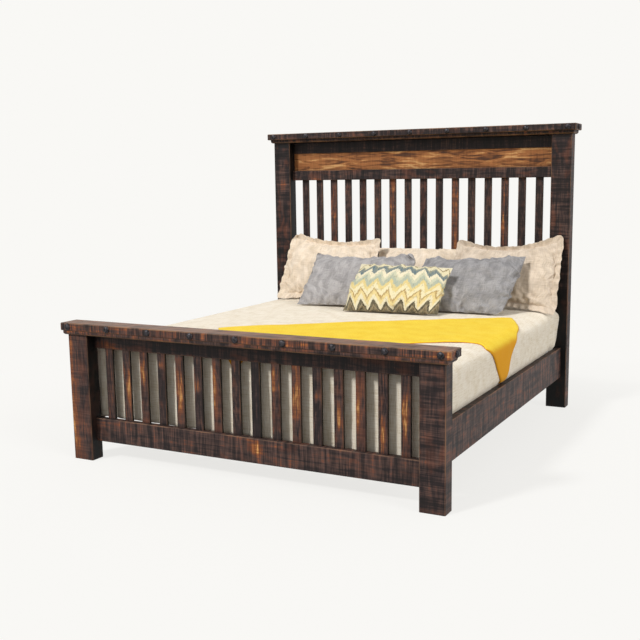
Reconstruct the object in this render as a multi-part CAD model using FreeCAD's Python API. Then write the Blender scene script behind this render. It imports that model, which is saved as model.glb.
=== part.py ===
# King-size timber bed: slatted headboard and footboard, side rails, slats, mattress and bedding.
# X runs across the bed, Y from the foot to the head, Z up. Lengths are in millimetres.
# The origin is the bottom centre of the whole bed, on the floor.
import FreeCAD, Part
import math
import os

os.makedirs("parts", exist_ok=True)
V = FreeCAD.Vector
X_AXIS = V(1, 0, 0)
Y_AXIS = V(0, 1, 0)
Z_AXIS = V(0, 0, 1)

# The mattress that the frame is built round, and the room that it has
mattress_width = 1930.0
mattress_length = 2032.0
mattress_side_gap = 10.0          # to the side rail
mattress_foot_gap = 46.0          # to the footboard posts
mattress_head_gap = 2.0           # to the headboard posts

# Posts
post_width = 124.0
post_depth = 84.0
foot_post_height = 670.0
head_post_height = 1706.0
post_ease = 4.0                    # the arris planed off each long edge
rail_ease = 3.0

# Caps and the mouldings under them
cap_thickness = 40.0
cap_end_overhang = 32.0
foot_cap_overhang = 20.0
head_cap_front_overhang = 38.0
head_cap_back_overhang = 30.0
cap_ease = 4.0
moulding_thickness = 22.0
moulding_overhang = 16.0
moulding_round = 13.0

# Cross rails, flush with the back of the posts
thick_rail = 40.0
thin_rail = 22.0
top_rail_height = 76.0
foot_bottom_rail_height = 124.0
foot_bottom_rail_lift = 98.0
head_middle_rail_height = 67.0
head_bottom_rail_height = 124.0
head_bottom_rail_lift = 362.0

# Panel between the top and middle rails of the headboard
panel_thickness = 12.0
panel_show = 117.0                # the height of panel that shows between the rails
panel_groove = 9.0

# Spindles
spindle_count = 16
spindle_width = 48.0
spindle_thickness = 16.0
spindle_ease = 2.0
spindle_tenon = 16.0
spindle_shoulder = 5.0
spindle_cheek = 3.0

# Tenons and mortises of the rails
tenon_length = 44.0
tenon_shoulder = 9.0
tenon_thickness_share = 0.5
joint_gap = 0.25
tenon_end_gap = 2.0

# Side rails and what hooks them to the posts
side_rail_height = 192.0
side_rail_lift = 193.0
side_rail_thickness = 38.0
side_rail_inset = 35.0
plate_thickness = 5.0
plate_depth = 58.0
plate_height = 150.0
hook_reach = 18.0
hook_height = 34.0
hook_lip = 17.0                   # how far each hook reaches down behind its slot plate
hook_spacing = 92.0
hook_play = 0.3
slot_plate_thickness = 4.0
slot_plate_width = 34.0
slot_plate_height = 170.0
nail_play = 0.1

# Cleats, slats, centre beam and its legs
cleat_width = 28.0
cleat_height = 40.0
cleat_lift = 12.0
slat_count = 12
slat_width = 82.0
slat_thickness = 20.0
slat_end_gap = 2.0
slat_margin = 6.0
slat_ease = 2.0
beam_width = 44.0
beam_height = 90.0
leg_size = 44.0
leg_count = 3

# Domed iron studs
stud_count = 9
stud_radius = 17.5
stud_height = 11.0
stud_sides = 8
stud_row_inset = 50.0
stud_shank_size = 5.0
stud_shank_length = 28.0
stud_ring_shares = [(1.0, 0.0), (0.84, 0.58), (0.36, 1.0)]

# Box spring and mattress
mattress_height = 226.0
mattress_corner = 50.0
mattress_top_roll = 40.0
box_spring_height = 140.0
box_spring_corner = 30.0
soft_gap = 0.4

# Coverlet
coverlet_thickness = 8.0
coverlet_tuck_gap = 2.0
coverlet_bulge = 29.0
coverlet_roll = 75.0
coverlet_tuck_rise = 15.0
coverlet_side_hem = 300.0
coverlet_head_gap = 6.0
coverlet_foot_thickness = 17.0
coverlet_foot_roll = 60.0
coverlet_fold_rise = 42.0
coverlet_foot_hem = 226.0
fold_count = 12
fold_depth = 7.0
fold_width_swing_share = 0.3
fold_beat_share = 1.7

# Throw, a long folded blanket laid across the bed on a slant, one corner over the right side
throw_thickness = 6.0
throw_width = 690.0
throw_length = 1700.0
throw_corner_x = 862.0
throw_corner_from_head = 552.0
throw_slack = 52.0                # taken up where the cloth stands off the edge of the bed
throw_slant = 37.2

# Pillows: width, height, thickness, flange, then where each stands
sham_width = 740.0
sham_height = 488.0
sham_thickness = 130.0
sham_flange = 42.0
middle_width = 600.0
middle_height = 396.0
middle_thickness = 96.0
grey_width = 730.0
grey_right_width = 660.0
grey_height = 445.0
grey_thickness = 150.0
lumbar_width = 610.0
lumbar_height = 356.0
lumbar_thickness = 120.0
pillow_edge = 4.0
pillow_side_facets = 6
pillow_pull = 20.0
sham_pull = 30.0
# from the crown to the seam: the size of the outline, and how far it stands out
crown_shares = [(0.3, 1.0), (0.6, 0.86), (0.83, 0.55), (0.95, 0.24), (1.0, 0.0)]
sham_left_reach = 368.0            # from the inner side of the post to the middle of the sham
sham_right_reach = 242.0
middle_x = 42.0
grey_left_x = -250.0
grey_right_x = 500.0
lumbar_x = 124.0
sham_back = 4.0
middle_back = -50.0
grey_back = 188.0
lumbar_back = 440.0
sham_lean = 27.0
middle_lean = 26.0
grey_lean = 45.0
lumbar_lean = 38.0
lumbar_turn = 2.0

# Places that follow from the sizes above
rail_length = mattress_foot_gap + mattress_length + mattress_head_gap
outer_width = mattress_width + 2 * (mattress_side_gap + side_rail_thickness + side_rail_inset)
half_outer = outer_width / 2
half_inner = half_outer - post_width
sham_left_x = sham_left_reach - half_inner
sham_right_x = half_inner - sham_right_reach
head_middle_rail_lift = head_post_height - top_rail_height - panel_show - head_middle_rail_height
reach_front = foot_cap_overhang + stud_height
whole_length = reach_front + post_depth + rail_length + post_depth + head_cap_back_overhang
foot_front = reach_front - whole_length / 2
foot_back = foot_front + post_depth
head_front = foot_back + rail_length
head_back = head_front + post_depth
side_outer = half_outer - side_rail_inset
side_inner = side_outer - side_rail_thickness
rail_middle = side_rail_lift + side_rail_height / 2
slat_bottom = side_rail_lift + cleat_lift + cleat_height
slat_top = slat_bottom + slat_thickness
box_spring_bottom = slat_top + soft_gap
mattress_bottom = box_spring_bottom + box_spring_height + soft_gap
mattress_top = mattress_bottom + mattress_height
coverlet_top = mattress_top + soft_gap + coverlet_thickness
mattress_head = head_front - mattress_head_gap
mattress_foot = mattress_head - mattress_length
spindle_pitch = (2 * half_inner + spindle_width) / (spindle_count + 1)


def block(x, y, z):
    """A box from three (low, high) pairs."""
    return Part.makeBox(x[1] - x[0], y[1] - y[0], z[1] - z[0], V(x[0], y[0], z[0]))


def edges_along(shape, axis):
    """The straight edges of a shape that run along an axis."""
    found = []
    for edge in shape.Edges:
        ends = edge.Vertexes
        if len(ends) == 2 and ends[0].Point.sub(ends[1].Point).cross(axis).Length < joint_gap:
            found.append(edge)
    return found


def eased_along(shape, axis, size):
    """Timber with a small chamfer along its edges."""
    return shape.makeChamfer(size, edges_along(shape, axis))


def write(name, solids):
    """Writes one sub-part: a single solid, or a group of separate ones."""
    group = solids if isinstance(solids, list) else [solids]
    shape = group[0] if len(group) == 1 else Part.makeCompound(group)
    shape.exportStep("parts/" + name + ".step")
    volume = sum(solid.Volume for solid in group)
    print(f"{name:24s} solids {len(shape.Solids):2d}  valid {shape.isValid()}  {volume / 1e6:9.3f} litres")


# Cross rails with a tenon at each end, and the mortises they need
def cross_rail(back, thickness, lift, height):
    y = (back - thickness, back)
    body = eased_along(block((-half_inner, half_inner), y, (lift, lift + height)), X_AXIS, rail_ease)
    cheek = thickness * (1 - tenon_thickness_share) / 2
    tenon_y = (y[0] + cheek, y[1] - cheek)
    tenon_z = (lift + tenon_shoulder, lift + height - tenon_shoulder)
    tenon_reach = half_inner + tenon_length
    body = body.fuse(block((-tenon_reach, tenon_reach), tenon_y, tenon_z))
    body = body.removeSplitter()
    hole_y = (tenon_y[0] - joint_gap, tenon_y[1] + joint_gap)
    hole_z = (tenon_z[0] - joint_gap, tenon_z[1] + joint_gap)
    hole_reach = tenon_reach + tenon_end_gap
    mortises = [block((-hole_reach, -half_inner), hole_y, hole_z), block((half_inner, hole_reach), hole_y, hole_z)]
    return body, mortises


# Spindles stand in the plane of the thin top rail
def spindle_y(back):
    middle = back - thin_rail / 2
    return (middle - spindle_thickness / 2, middle + spindle_thickness / 2)


def spindle_x(index):
    middle = -half_inner - spindle_width / 2 + spindle_pitch * (index + 1)
    return (middle - spindle_width / 2, middle + spindle_width / 2)


def spindle(index, back, z):
    x, y = spindle_x(index), spindle_y(back)
    body = eased_along(block(x, y, z), Z_AXIS, spindle_ease)
    tenon_x = (x[0] + spindle_shoulder, x[1] - spindle_shoulder)
    tenon_y = (y[0] + spindle_cheek, y[1] - spindle_cheek)
    tenon = block(tenon_x, tenon_y, (z[0] - spindle_tenon, z[1] + spindle_tenon))
    return body.fuse(tenon).removeSplitter()


def spindle_mortises(back, z):
    y = spindle_y(back)
    holes = []
    for index in range(spindle_count):
        x = spindle_x(index)
        hole_x = (x[0] + spindle_shoulder - joint_gap, x[1] - spindle_shoulder + joint_gap)
        hole_y = (y[0] + spindle_cheek - joint_gap, y[1] - spindle_cheek + joint_gap)
        low = (z[0] - spindle_tenon - tenon_end_gap, z[0])
        high = (z[1], z[1] + spindle_tenon + tenon_end_gap)
        holes.append((block(hole_x, hole_y, low), block(hole_x, hole_y, high)))
    return [pair[0] for pair in holes], [pair[1] for pair in holes]


# Caps, mouldings and studs
def cap_board(y, z0):
    reach = half_outer + cap_end_overhang
    board = block((-reach, reach), y, (z0, z0 + cap_thickness))
    return board.makeChamfer(cap_ease, board.Edges)


def moulding_board(y, z0):
    reach = half_outer + moulding_overhang
    board = block((-reach, reach), y, (z0, z0 + moulding_thickness))
    under = [edge for edge in board.Edges if edge.BoundBox.ZMax < z0 + joint_gap]
    return board.makeFillet(moulding_round, under)


def stud_ring(radius, height):
    step = 2 * math.pi / stud_sides
    corners = [V(radius * math.cos(step * i), radius * math.sin(step * i), height) for i in range(stud_sides)]
    return Part.makePolygon(corners + [corners[0]])


def stud(place, axis):
    """A forged nail: a faceted dome on a square shank, driven in against its axis."""
    rings = [stud_ring(stud_radius * wide, stud_height * high) for wide, high in stud_ring_shares]
    head = Part.makeLoft(rings, True, True)
    half = stud_shank_size / 2
    nail = head.fuse(block((-half, half), (-half, half), (-stud_shank_length, 0)))
    nail.Placement = FreeCAD.Placement(place, FreeCAD.Rotation(Z_AXIS, axis))
    return nail


def stud_hole(place, axis):
    half = stud_shank_size / 2 + nail_play
    hole = block((-half, half), (-half, half), (-stud_shank_length - tenon_end_gap, 0))
    hole.Placement = FreeCAD.Placement(place, FreeCAD.Rotation(Z_AXIS, axis))
    return hole


def stud_places(cap_y, z0):
    """A row along the front edge of the cap, and one on each end."""
    z = z0 + cap_thickness / 2
    end = half_outer + cap_end_overhang
    row = end - stud_row_inset
    step = 2 * row / (stud_count - 1)
    places = [(V(-row + step * i, cap_y[0], z), Y_AXIS.negative()) for i in range(stud_count)]
    middle = (cap_y[0] + cap_y[1]) / 2
    return places + [(V(end, middle, z), X_AXIS), (V(-end, middle, z), X_AXIS.negative())]


# Posts
def post(side, y, height):
    x = (half_inner, half_outer) if side > 0 else (-half_outer, -half_inner)
    return eased_along(block(x, y, (0, height)), Z_AXIS, post_ease)


# Hook plates: a steel plate let into the end of the side rail has two hooks, which pass through the slots of a
# second plate, let into the post, and drop behind it.
# outward is +1 where the hooks reach towards +Y and -1 where they reach towards -Y.
def reach_y(face, outward, a, b):
    low, high = face + outward * a, face + outward * b
    return (min(low, high), max(low, high))


def hook_levels():
    """The height that each hook rests at: the lower edge of its slot."""
    return [rail_middle - hook_spacing / 2, rail_middle + hook_spacing / 2]


def hook_plate(x, face, outward):
    thick = (x - plate_thickness / 2, x + plate_thickness / 2)
    plate = block(thick, reach_y(face, outward, -plate_depth, 0),
                  (rail_middle - plate_height / 2, rail_middle + plate_height / 2))
    behind = slot_plate_thickness + hook_play
    for level in hook_levels():
        top = level - hook_lip + hook_height
        plate = plate.fuse(block(thick, reach_y(face, outward, 0, hook_reach), (level, top)))
        plate = plate.fuse(block(thick, reach_y(face, outward, behind, hook_reach), (level - hook_lip, level)))
    return plate.removeSplitter()


def slot_plate_box(x, face, outward, play):
    half = slot_plate_width / 2 + play
    high = slot_plate_height / 2 + play
    return block((x - half, x + half), reach_y(face, outward, 0, slot_plate_thickness),
                 (rail_middle - high, rail_middle + high))


def slot_x(x):
    return (x - plate_thickness / 2 - hook_play, x + plate_thickness / 2 + hook_play)


def slot_plate(x, face, outward):
    plate = slot_plate_box(x, face, outward, 0)
    for level in hook_levels():
        z = (level, level + hook_height + hook_play)
        plate = plate.cut(block(slot_x(x), reach_y(face, outward, 0, slot_plate_thickness), z))
    return plate


def hook_cuts(x, face, outward):
    """The recess for the slot plate in a post, and the pockets behind its slots."""
    cuts = [slot_plate_box(x, face, outward, hook_play)]
    for level in hook_levels():
        z = (level - hook_lip - hook_play, level + hook_height + hook_play)
        cuts.append(block(slot_x(x), reach_y(face, outward, 0, hook_reach + tenon_end_gap), z))
    return cuts


def cut_all(shape, tools):
    return shape.cut(Part.makeCompound(tools)) if tools else shape


# Headboard and footboard
def build_board(prefix, y, height, cap_y, thick_rails, middle_lift):
    """The posts, rails, cap and studs that both boards have. Returns the posts' mortises and the spindle span."""
    back = y[1]
    top_lift = height - top_rail_height
    bottom_lift, bottom_height = thick_rails
    upper = middle_lift if middle_lift else top_lift
    span = (bottom_lift + bottom_height, upper)
    low_holes, high_holes = spindle_mortises(back, span)
    bottom, mortises = cross_rail(back, thick_rail, bottom_lift, bottom_height)
    write(prefix + "_bottom_rail", cut_all(bottom, low_holes))
    top, more = cross_rail(back, thin_rail, top_lift, top_rail_height)
    mortises += more
    if middle_lift:
        middle, more = cross_rail(back, thick_rail, middle_lift, head_middle_rail_height)
        mortises += more
        middle = cut_all(middle, high_holes)
        panel_y = (back - thin_rail / 2 - panel_thickness / 2, back - thin_rail / 2 + panel_thickness / 2)
        panel_low = middle_lift + head_middle_rail_height - panel_groove
        panel_z = (panel_low, top_lift + panel_groove - tenon_end_gap)
        half_panel = half_inner - tenon_end_gap
        panel = block((-half_panel, half_panel), panel_y, panel_z)
        groove_y = (panel_y[0] - joint_gap, panel_y[1] + joint_gap)
        groove = block((-half_inner, half_inner), groove_y, (panel_low, top_lift + panel_groove))
        write(prefix + "_panel", panel)
        write(prefix + "_middle_rail", middle.cut(groove))
        top = top.cut(groove)
    else:
        top = cut_all(top, high_holes)
    write(prefix + "_top_rail", top)
    moulding_y = (y[0] - moulding_overhang, y[1] + moulding_overhang)
    write(prefix + "_moulding", moulding_board(moulding_y, height))
    cap_z = height + moulding_thickness
    places = stud_places(cap_y, cap_z)
    cap = cut_all(cap_board(cap_y, cap_z), [stud_hole(place, axis) for place, axis in places])
    write(prefix + "_cap", cap)
    write(prefix + "_studs", [stud(place, axis) for place, axis in places])
    return mortises, span


def build_posts(prefix, y, height, face, outward, mortises):
    for side, word in ((-1, "left"), (1, "right")):
        x = side * (side_inner + side_outer) / 2
        shape = cut_all(post(side, y, height), mortises + hook_cuts(x, face, outward))
        write(f"{prefix}_post_{word}", shape)


foot_y = (foot_front, foot_back)
head_y = (head_front, head_back)
foot_cap_y = (foot_front - foot_cap_overhang, foot_back + foot_cap_overhang)
head_cap_y = (head_front - head_cap_front_overhang, head_back + head_cap_back_overhang)
foot_mortises, foot_span = build_board("footboard", foot_y, foot_post_height, foot_cap_y,
                                       (foot_bottom_rail_lift, foot_bottom_rail_height), 0)
head_mortises, head_span = build_board("headboard", head_y, head_post_height, head_cap_y,
                                       (head_bottom_rail_lift, head_bottom_rail_height), head_middle_rail_lift)
build_posts("footboard", foot_y, foot_post_height, foot_back, -1, foot_mortises)
build_posts("headboard", head_y, head_post_height, head_front, 1, head_mortises)
for number in range(spindle_count):
    write(f"footboard_spindle_{number + 1:02d}", spindle(number, foot_back, foot_span))
write("headboard_spindles", [spindle(number, head_back, head_span) for number in range(spindle_count)])


# Side rails, hook plates and slot plates
def side_rail(side):
    x = (side_inner, side_outer) if side > 0 else (-side_outer, -side_inner)
    rail = block(x, (foot_back, head_front), (side_rail_lift, side_rail_lift + side_rail_height))
    rail = eased_along(rail, Y_AXIS, rail_ease)
    middle = (x[0] + x[1]) / 2
    slot_z = (rail_middle - plate_height / 2, rail_middle + plate_height / 2 + hook_play)
    depth = plate_depth + hook_play
    foot_slot = block(slot_x(middle), (foot_back, foot_back + depth), slot_z)
    head_slot = block(slot_x(middle), (head_front - depth, head_front), slot_z)
    return rail.cut(foot_slot).cut(head_slot)


hook_plates = []
slot_plates = []
for side, word in ((-1, "left"), (1, "right")):
    write("side_rail_" + word, side_rail(side))
    middle = side * (side_inner + side_outer) / 2
    for face, outward in ((foot_back, -1), (head_front, 1)):
        hook_plates.append(hook_plate(middle, face, outward))
        slot_plates.append(slot_plate(middle, face, outward))
write("rail_hook_plates", hook_plates)
write("post_slot_plates", slot_plates)

# Cleats, slats, centre beam and legs
slat_start = mattress_foot + slat_margin
slat_end = mattress_head - slat_margin
slat_step = (slat_end - slat_start - slat_width) / (slat_count - 1)
for side, word in ((-1, "left"), (1, "right")):
    cleat_x = sorted((side * side_inner, side * (side_inner - cleat_width)))
    cleat_z = (slat_bottom - cleat_height, slat_bottom)
    write("cleat_" + word, block(cleat_x, (slat_start, slat_end), cleat_z))
slats = []
for number in range(slat_count):
    low = slat_start + slat_step * number
    half_slat = side_inner - slat_end_gap
    slat = block((-half_slat, half_slat), (low, low + slat_width), (slat_bottom, slat_top))
    slats.append(eased_along(slat, X_AXIS, slat_ease))
write("bed_slats", slats)
beam_bottom = slat_bottom - beam_height
beam_x = (-beam_width / 2, beam_width / 2)
write("centre_beam", block(beam_x, (slat_start, slat_end), (beam_bottom, slat_bottom)))
legs = []
for number in range(leg_count):
    middle = slat_start + (slat_end - slat_start) * (number + 1) / (leg_count + 1)
    leg = block((-leg_size / 2, leg_size / 2), (middle - leg_size / 2, middle + leg_size / 2), (0, beam_bottom))
    legs.append(eased_along(leg, Z_AXIS, slat_ease))
write("centre_legs", legs)


# Box spring and mattress
def rounded_block(z, corner):
    half = mattress_width / 2
    body = block((-half, half), (mattress_foot, mattress_head), z)
    return body.makeFillet(corner, edges_along(body, Z_AXIS))


def mattress(z):
    body = rounded_block(z, mattress_corner)
    rim = [edge for edge in body.Edges if edge.BoundBox.ZMin > z[1] - joint_gap]
    return body.makeFillet(mattress_top_roll, rim)


box_spring_z = (box_spring_bottom, box_spring_bottom + box_spring_height)
write("box_spring", rounded_block(box_spring_z, box_spring_corner))
write("mattress", mattress((mattress_bottom, mattress_top)))

# Coverlet. Across the bed its outer line is flat on top, rolls over the edge of the mattress, bulges down the
# side and is tucked between the mattress and the side rail.
tuck_x = side_inner - coverlet_tuck_gap
bulge_x = tuck_x + coverlet_bulge
tuck_z = side_rail_lift + side_rail_height + coverlet_tuck_rise
roll_z = coverlet_top - coverlet_roll
bulge_radius = ((roll_z - tuck_z) ** 2 + coverlet_bulge ** 2) / (2 * coverlet_bulge)
roll_x = bulge_x - coverlet_roll
bulge_angle = math.asin((roll_z - tuck_z) / bulge_radius)


def polar(centre_x, centre_z, radius, angle):
    return V(centre_x + radius * math.cos(angle), 0, centre_z + radius * math.sin(angle))


def right_side_edges(offset, low):
    """The coverlet's outer line moved out by an offset, from its lower end up to the start of the flat top."""
    bulge_centre = bulge_x - bulge_radius
    radius = bulge_radius + offset
    tuck = polar(bulge_centre, roll_z, radius, -bulge_angle)
    widest = polar(bulge_centre, roll_z, radius, 0)
    side_middle = polar(bulge_centre, roll_z, radius, -bulge_angle / 2)
    roll_middle = polar(roll_x, roll_z, coverlet_roll + offset, math.pi / 4)
    crest = polar(roll_x, roll_z, coverlet_roll + offset, math.pi / 2)
    edges = [Part.Arc(tuck, side_middle, widest).toShape(), Part.Arc(widest, roll_middle, crest).toShape()]
    if low < tuck.z:
        edges.insert(0, Part.LineSegment(V(tuck.x, 0, low), tuck).toShape())
    return edges


def extrude_profile(edges, y):
    face = Part.Face(Part.Wire(edges))
    face.translate(V(0, y[0], 0))
    return face.extrude(V(0, y[1] - y[0], 0))


def coverlet():
    right = right_side_edges(0, coverlet_side_hem)
    left = [edge.mirror(V(0, 0, 0), X_AXIS) for edge in right]
    hem_right = V(right[0].Vertexes[0].Point)
    hem_left = V(-hem_right.x, 0, hem_right.z)
    crest_right = V(roll_x, 0, coverlet_top)
    crest_left = V(-roll_x, 0, coverlet_top)
    closing = [Part.LineSegment(crest_right, crest_left).toShape(), Part.LineSegment(hem_left, hem_right).toShape()]
    foot_face = mattress_foot - soft_gap - coverlet_foot_thickness
    head_edge = head_front - coverlet_head_gap
    across = extrude_profile(Part.sortEdges(right + left + closing)[0], (foot_face, head_edge))
    # The foot end of the top rolls over too: a second profile, seen from the side, is shared with the first.
    reach = bulge_x + coverlet_bulge
    roll_start = coverlet_top - coverlet_foot_roll
    corner = coverlet_foot_roll * (1 - math.cos(math.pi / 4))
    low_foot = V(-reach, foot_face, coverlet_side_hem)
    low_head = V(-reach, head_edge, coverlet_side_hem)
    high_head = V(-reach, head_edge, coverlet_top)
    high_foot = V(-reach, foot_face + coverlet_foot_roll, coverlet_top)
    face_top = V(-reach, foot_face, roll_start)
    roll_middle = V(-reach, foot_face + corner, coverlet_top - corner)
    side_view = [Part.LineSegment(low_foot, low_head).toShape(), Part.LineSegment(low_head, high_head).toShape(),
                 Part.LineSegment(high_head, high_foot).toShape(), Part.Arc(high_foot, roll_middle, face_top).toShape(),
                 Part.LineSegment(face_top, low_foot).toShape()]
    along = Part.Face(Part.Wire(side_view)).extrude(V(2 * reach, 0, 0))
    body = across.common(along)
    half_cavity = mattress_width / 2 + soft_gap
    cavity_foot = mattress_foot - soft_gap
    cavity_top = mattress_top + soft_gap
    cavity = block((-half_cavity, half_cavity), (cavity_foot, head_front), (coverlet_foot_hem, cavity_top))
    rims = [edge for edge in cavity.Edges if edge.BoundBox.ZMin > cavity_top - joint_gap
            and edge.BoundBox.YMin < head_front - joint_gap]
    cavity = cavity.makeFillet(mattress_top_roll + soft_gap, rims)
    body = body.cut(cavity)
    # Below the roll the foot end hangs in folds that deepen towards the hem.
    fold_top = coverlet_top - coverlet_foot_roll - coverlet_fold_rise
    body = body.cut(block((-tuck_x, tuck_x), (foot_face - soft_gap, cavity_foot), (coverlet_foot_hem, fold_top)))
    skirt = Part.makeLoft([fold_wire(foot_face, cavity_foot, coverlet_foot_hem, fold_depth),
                           fold_wire(foot_face, cavity_foot, fold_top, 0)], True, True)
    return body.fuse(skirt).removeSplitter()


def fold_wire(front, back, z, depth):
    """A strip seen from above: straight against the mattress, with arcs in and out along its front."""
    arcs = 2 * fold_count
    widths = [1 + fold_width_swing_share * math.sin(fold_beat_share * number) for number in range(arcs)]
    scale = 2 * tuck_x / sum(widths)
    edges = []
    x = -tuck_x
    for number in range(arcs):
        step = widths[number] * scale
        start, end = V(x, front, z), V(x + step, front, z)
        if number == arcs - 1:
            end = V(tuck_x, front, z)
        if depth:
            way = -1 if number % 2 else 1
            middle = V((start.x + end.x) / 2, front + way * depth, z)
            edges.append(Part.Arc(start, middle, end).toShape())
        else:
            edges.append(Part.LineSegment(start, end).toShape())
        x += step
    edges.append(Part.LineSegment(V(tuck_x, front, z), V(tuck_x, back, z)).toShape())
    edges.append(Part.LineSegment(V(tuck_x, back, z), V(-tuck_x, back, z)).toShape())
    edges.append(Part.LineSegment(V(-tuck_x, back, z), V(-tuck_x, front, z)).toShape())
    return Part.Wire(edges)


write("coverlet", coverlet())


# Throw: a band that follows the coverlet over the top and down the right side, cut to a slanting rectangle
def throw():
    slant = math.radians(throw_slant)
    along = V(-math.cos(slant), -math.sin(slant), 0)
    across = V(math.sin(slant), -math.cos(slant), 0)
    corner = V(throw_corner_x, head_front - throw_corner_from_head, 0)
    tip = corner + across * throw_width
    far_corner = corner + along * throw_length
    far_tip = tip + along * throw_length
    foot_limit = mattress_foot - soft_gap - coverlet_foot_thickness + coverlet_foot_roll
    low_end = side_rail_lift + side_rail_height + soft_gap
    inner_edges = right_side_edges(soft_gap, low_end)
    outer_edges = right_side_edges(soft_gap + throw_thickness, low_end)
    inner_low = inner_edges[0].Vertexes[0].Point
    outer_low = outer_edges[0].Vertexes[0].Point
    left = -roll_x
    inner_crest = V(roll_x, 0, coverlet_top + soft_gap)
    outer_crest = V(roll_x, 0, coverlet_top + soft_gap + throw_thickness)
    inner_left = V(left, 0, inner_crest.z)
    outer_left = V(left, 0, outer_crest.z)
    lines = [Part.LineSegment(inner_low, outer_low).toShape(), Part.LineSegment(outer_crest, outer_left).toShape(),
             Part.LineSegment(outer_left, inner_left).toShape(), Part.LineSegment(inner_left, inner_crest).toShape()]
    edges = Part.sortEdges(inner_edges + outer_edges + lines)[0]
    band = extrude_profile(edges, (foot_limit, corner.y))
    # On top the rectangle is seen from above. Past the middle of the roll it is seen from the side, where a
    # way outwards has become a way down.
    turn_x = roll_x + coverlet_roll * math.sin(math.pi / 4)
    low, high = coverlet_top - coverlet_roll, coverlet_top + coverlet_roll
    plan = [V(p.x, p.y, low) for p in (corner, tip, far_tip, far_corner)]
    top_cut = Part.Face(Part.makePolygon(plan + [plan[0]])).extrude(V(0, 0, high - low))
    top_part = band.common(top_cut).common(block((left, turn_x), (foot_limit, corner.y), (low, high)))
    quarter = coverlet_roll * math.pi / 2

    def down(p):
        return V(turn_x, p.y, roll_z - (p.x - roll_x - quarter - throw_slack))

    side = [down(p) for p in (corner, tip, far_tip)]
    side_cut = Part.Face(Part.makePolygon(side + [side[0]])).extrude(V(coverlet_roll, 0, 0))
    side_part = band.common(side_cut)
    return top_part.fuse(side_part).removeSplitter()


write("throw", throw())


# Pillows: ruled lofts from crown to crown through outlines of one shape, pointed at the corners and drawn in
# between them. Every outline is the same many-sided figure made smaller, so each facet is flat. A sham has a flat
# flange round its seam.
def pillow_outline(width, height, pull, size, y):
    corners = []
    for step in range(pillow_side_facets):
        along = 2 * step / pillow_side_facets - 1
        drawn = pull * (1 - along ** 2)
        corners.append((along * width / 2, drawn - height / 2, width / 2 - drawn, along * height / 2))
    low = [V(size * x, y, size * z) for x, z, side_x, side_z in corners]
    right = [V(size * side_x, y, size * side_z) for x, z, side_x, side_z in corners]
    high = [V(-p.x, y, -p.z) for p in low]
    left = [V(-p.x, y, -p.z) for p in right]
    ring = low + right + high + left
    return Part.makePolygon(ring + [ring[0]])


def flat_faced(loft):
    """The same solid with each of its flat ruled faces made again as a plane."""
    faces = []
    for facet in loft.Faces:
        corners = [vertex.Point for vertex in facet.OuterWire.OrderedVertexes]
        faces.append(Part.Face(Part.makePolygon(corners + [corners[0]])))
    return Part.Solid(Part.makeShell(faces))


def pillow(width, height, thickness, flange, pull, x, back, lean, turn):
    """A pillow that stands on the coverlet, leaning back. back is from the headboard posts' front to its upper edge."""
    inner = 1 - flange / (height / 2)
    edge = pillow_edge
    rise = thickness / 2 - edge
    levels = [(inner * size, edge + rise * crown) for size, crown in crown_shares]
    if flange:
        levels.append((1, edge / 2))
    levels = [(size, -y) for size, y in levels] + [(size, y) for size, y in reversed(levels)]
    outlines = [pillow_outline(width, height, pull, size, y) for size, y in levels]
    shape = flat_faced(Part.makeLoft(outlines, True, True))
    shape.rotate(V(0, 0, 0), X_AXIS, -lean)
    shape.rotate(V(0, 0, 0), Z_AXIS, turn)
    top = height / 2 * math.sin(math.radians(lean))
    box = shape.optimalBoundingBox(True, False)
    shape.translate(V(x, head_front - back - top, coverlet_top + soft_gap - box.ZMin))
    return shape


write("sham_left", pillow(sham_width, sham_height, sham_thickness, sham_flange, sham_pull,
                          sham_left_x, sham_back, sham_lean, 0))
write("sham_right", pillow(sham_width, sham_height, sham_thickness, sham_flange, sham_pull,
                           sham_right_x, sham_back, sham_lean, 0))
write("sham_middle", pillow(middle_width, middle_height, middle_thickness, 0, pillow_pull,
                            middle_x, middle_back, middle_lean, 0))
write("grey_pillow_left", pillow(grey_width, grey_height, grey_thickness, 0, pillow_pull,
                                 grey_left_x, grey_back, grey_lean, 0))
write("grey_pillow_right", pillow(grey_right_width, grey_height, grey_thickness, 0, pillow_pull,
                                  grey_right_x, grey_back, grey_lean, 0))
write("lumbar_pillow", pillow(lumbar_width, lumbar_height, lumbar_thickness, 0, pillow_pull,
                              lumbar_x, lumbar_back, lumbar_lean, lumbar_turn))
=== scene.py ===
# %% [markdown]
# # A rough-sawn timber bed, dressed in linen
# The bed is a heavy frame of dark stained pine: two slatted boards, two side rails and a base of slats. On it
# lie a box spring, a mattress, a linen coverlet, a yellow throw and six pillows. The timber parts are loaded
# as they are and get their finish here. The soft parts and the forged nails are modelled here, in place of
# plain solids.

# %% Load the frame
import math
import bpy
import numpy as np
from mathutils import Matrix, Vector, noise


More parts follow.
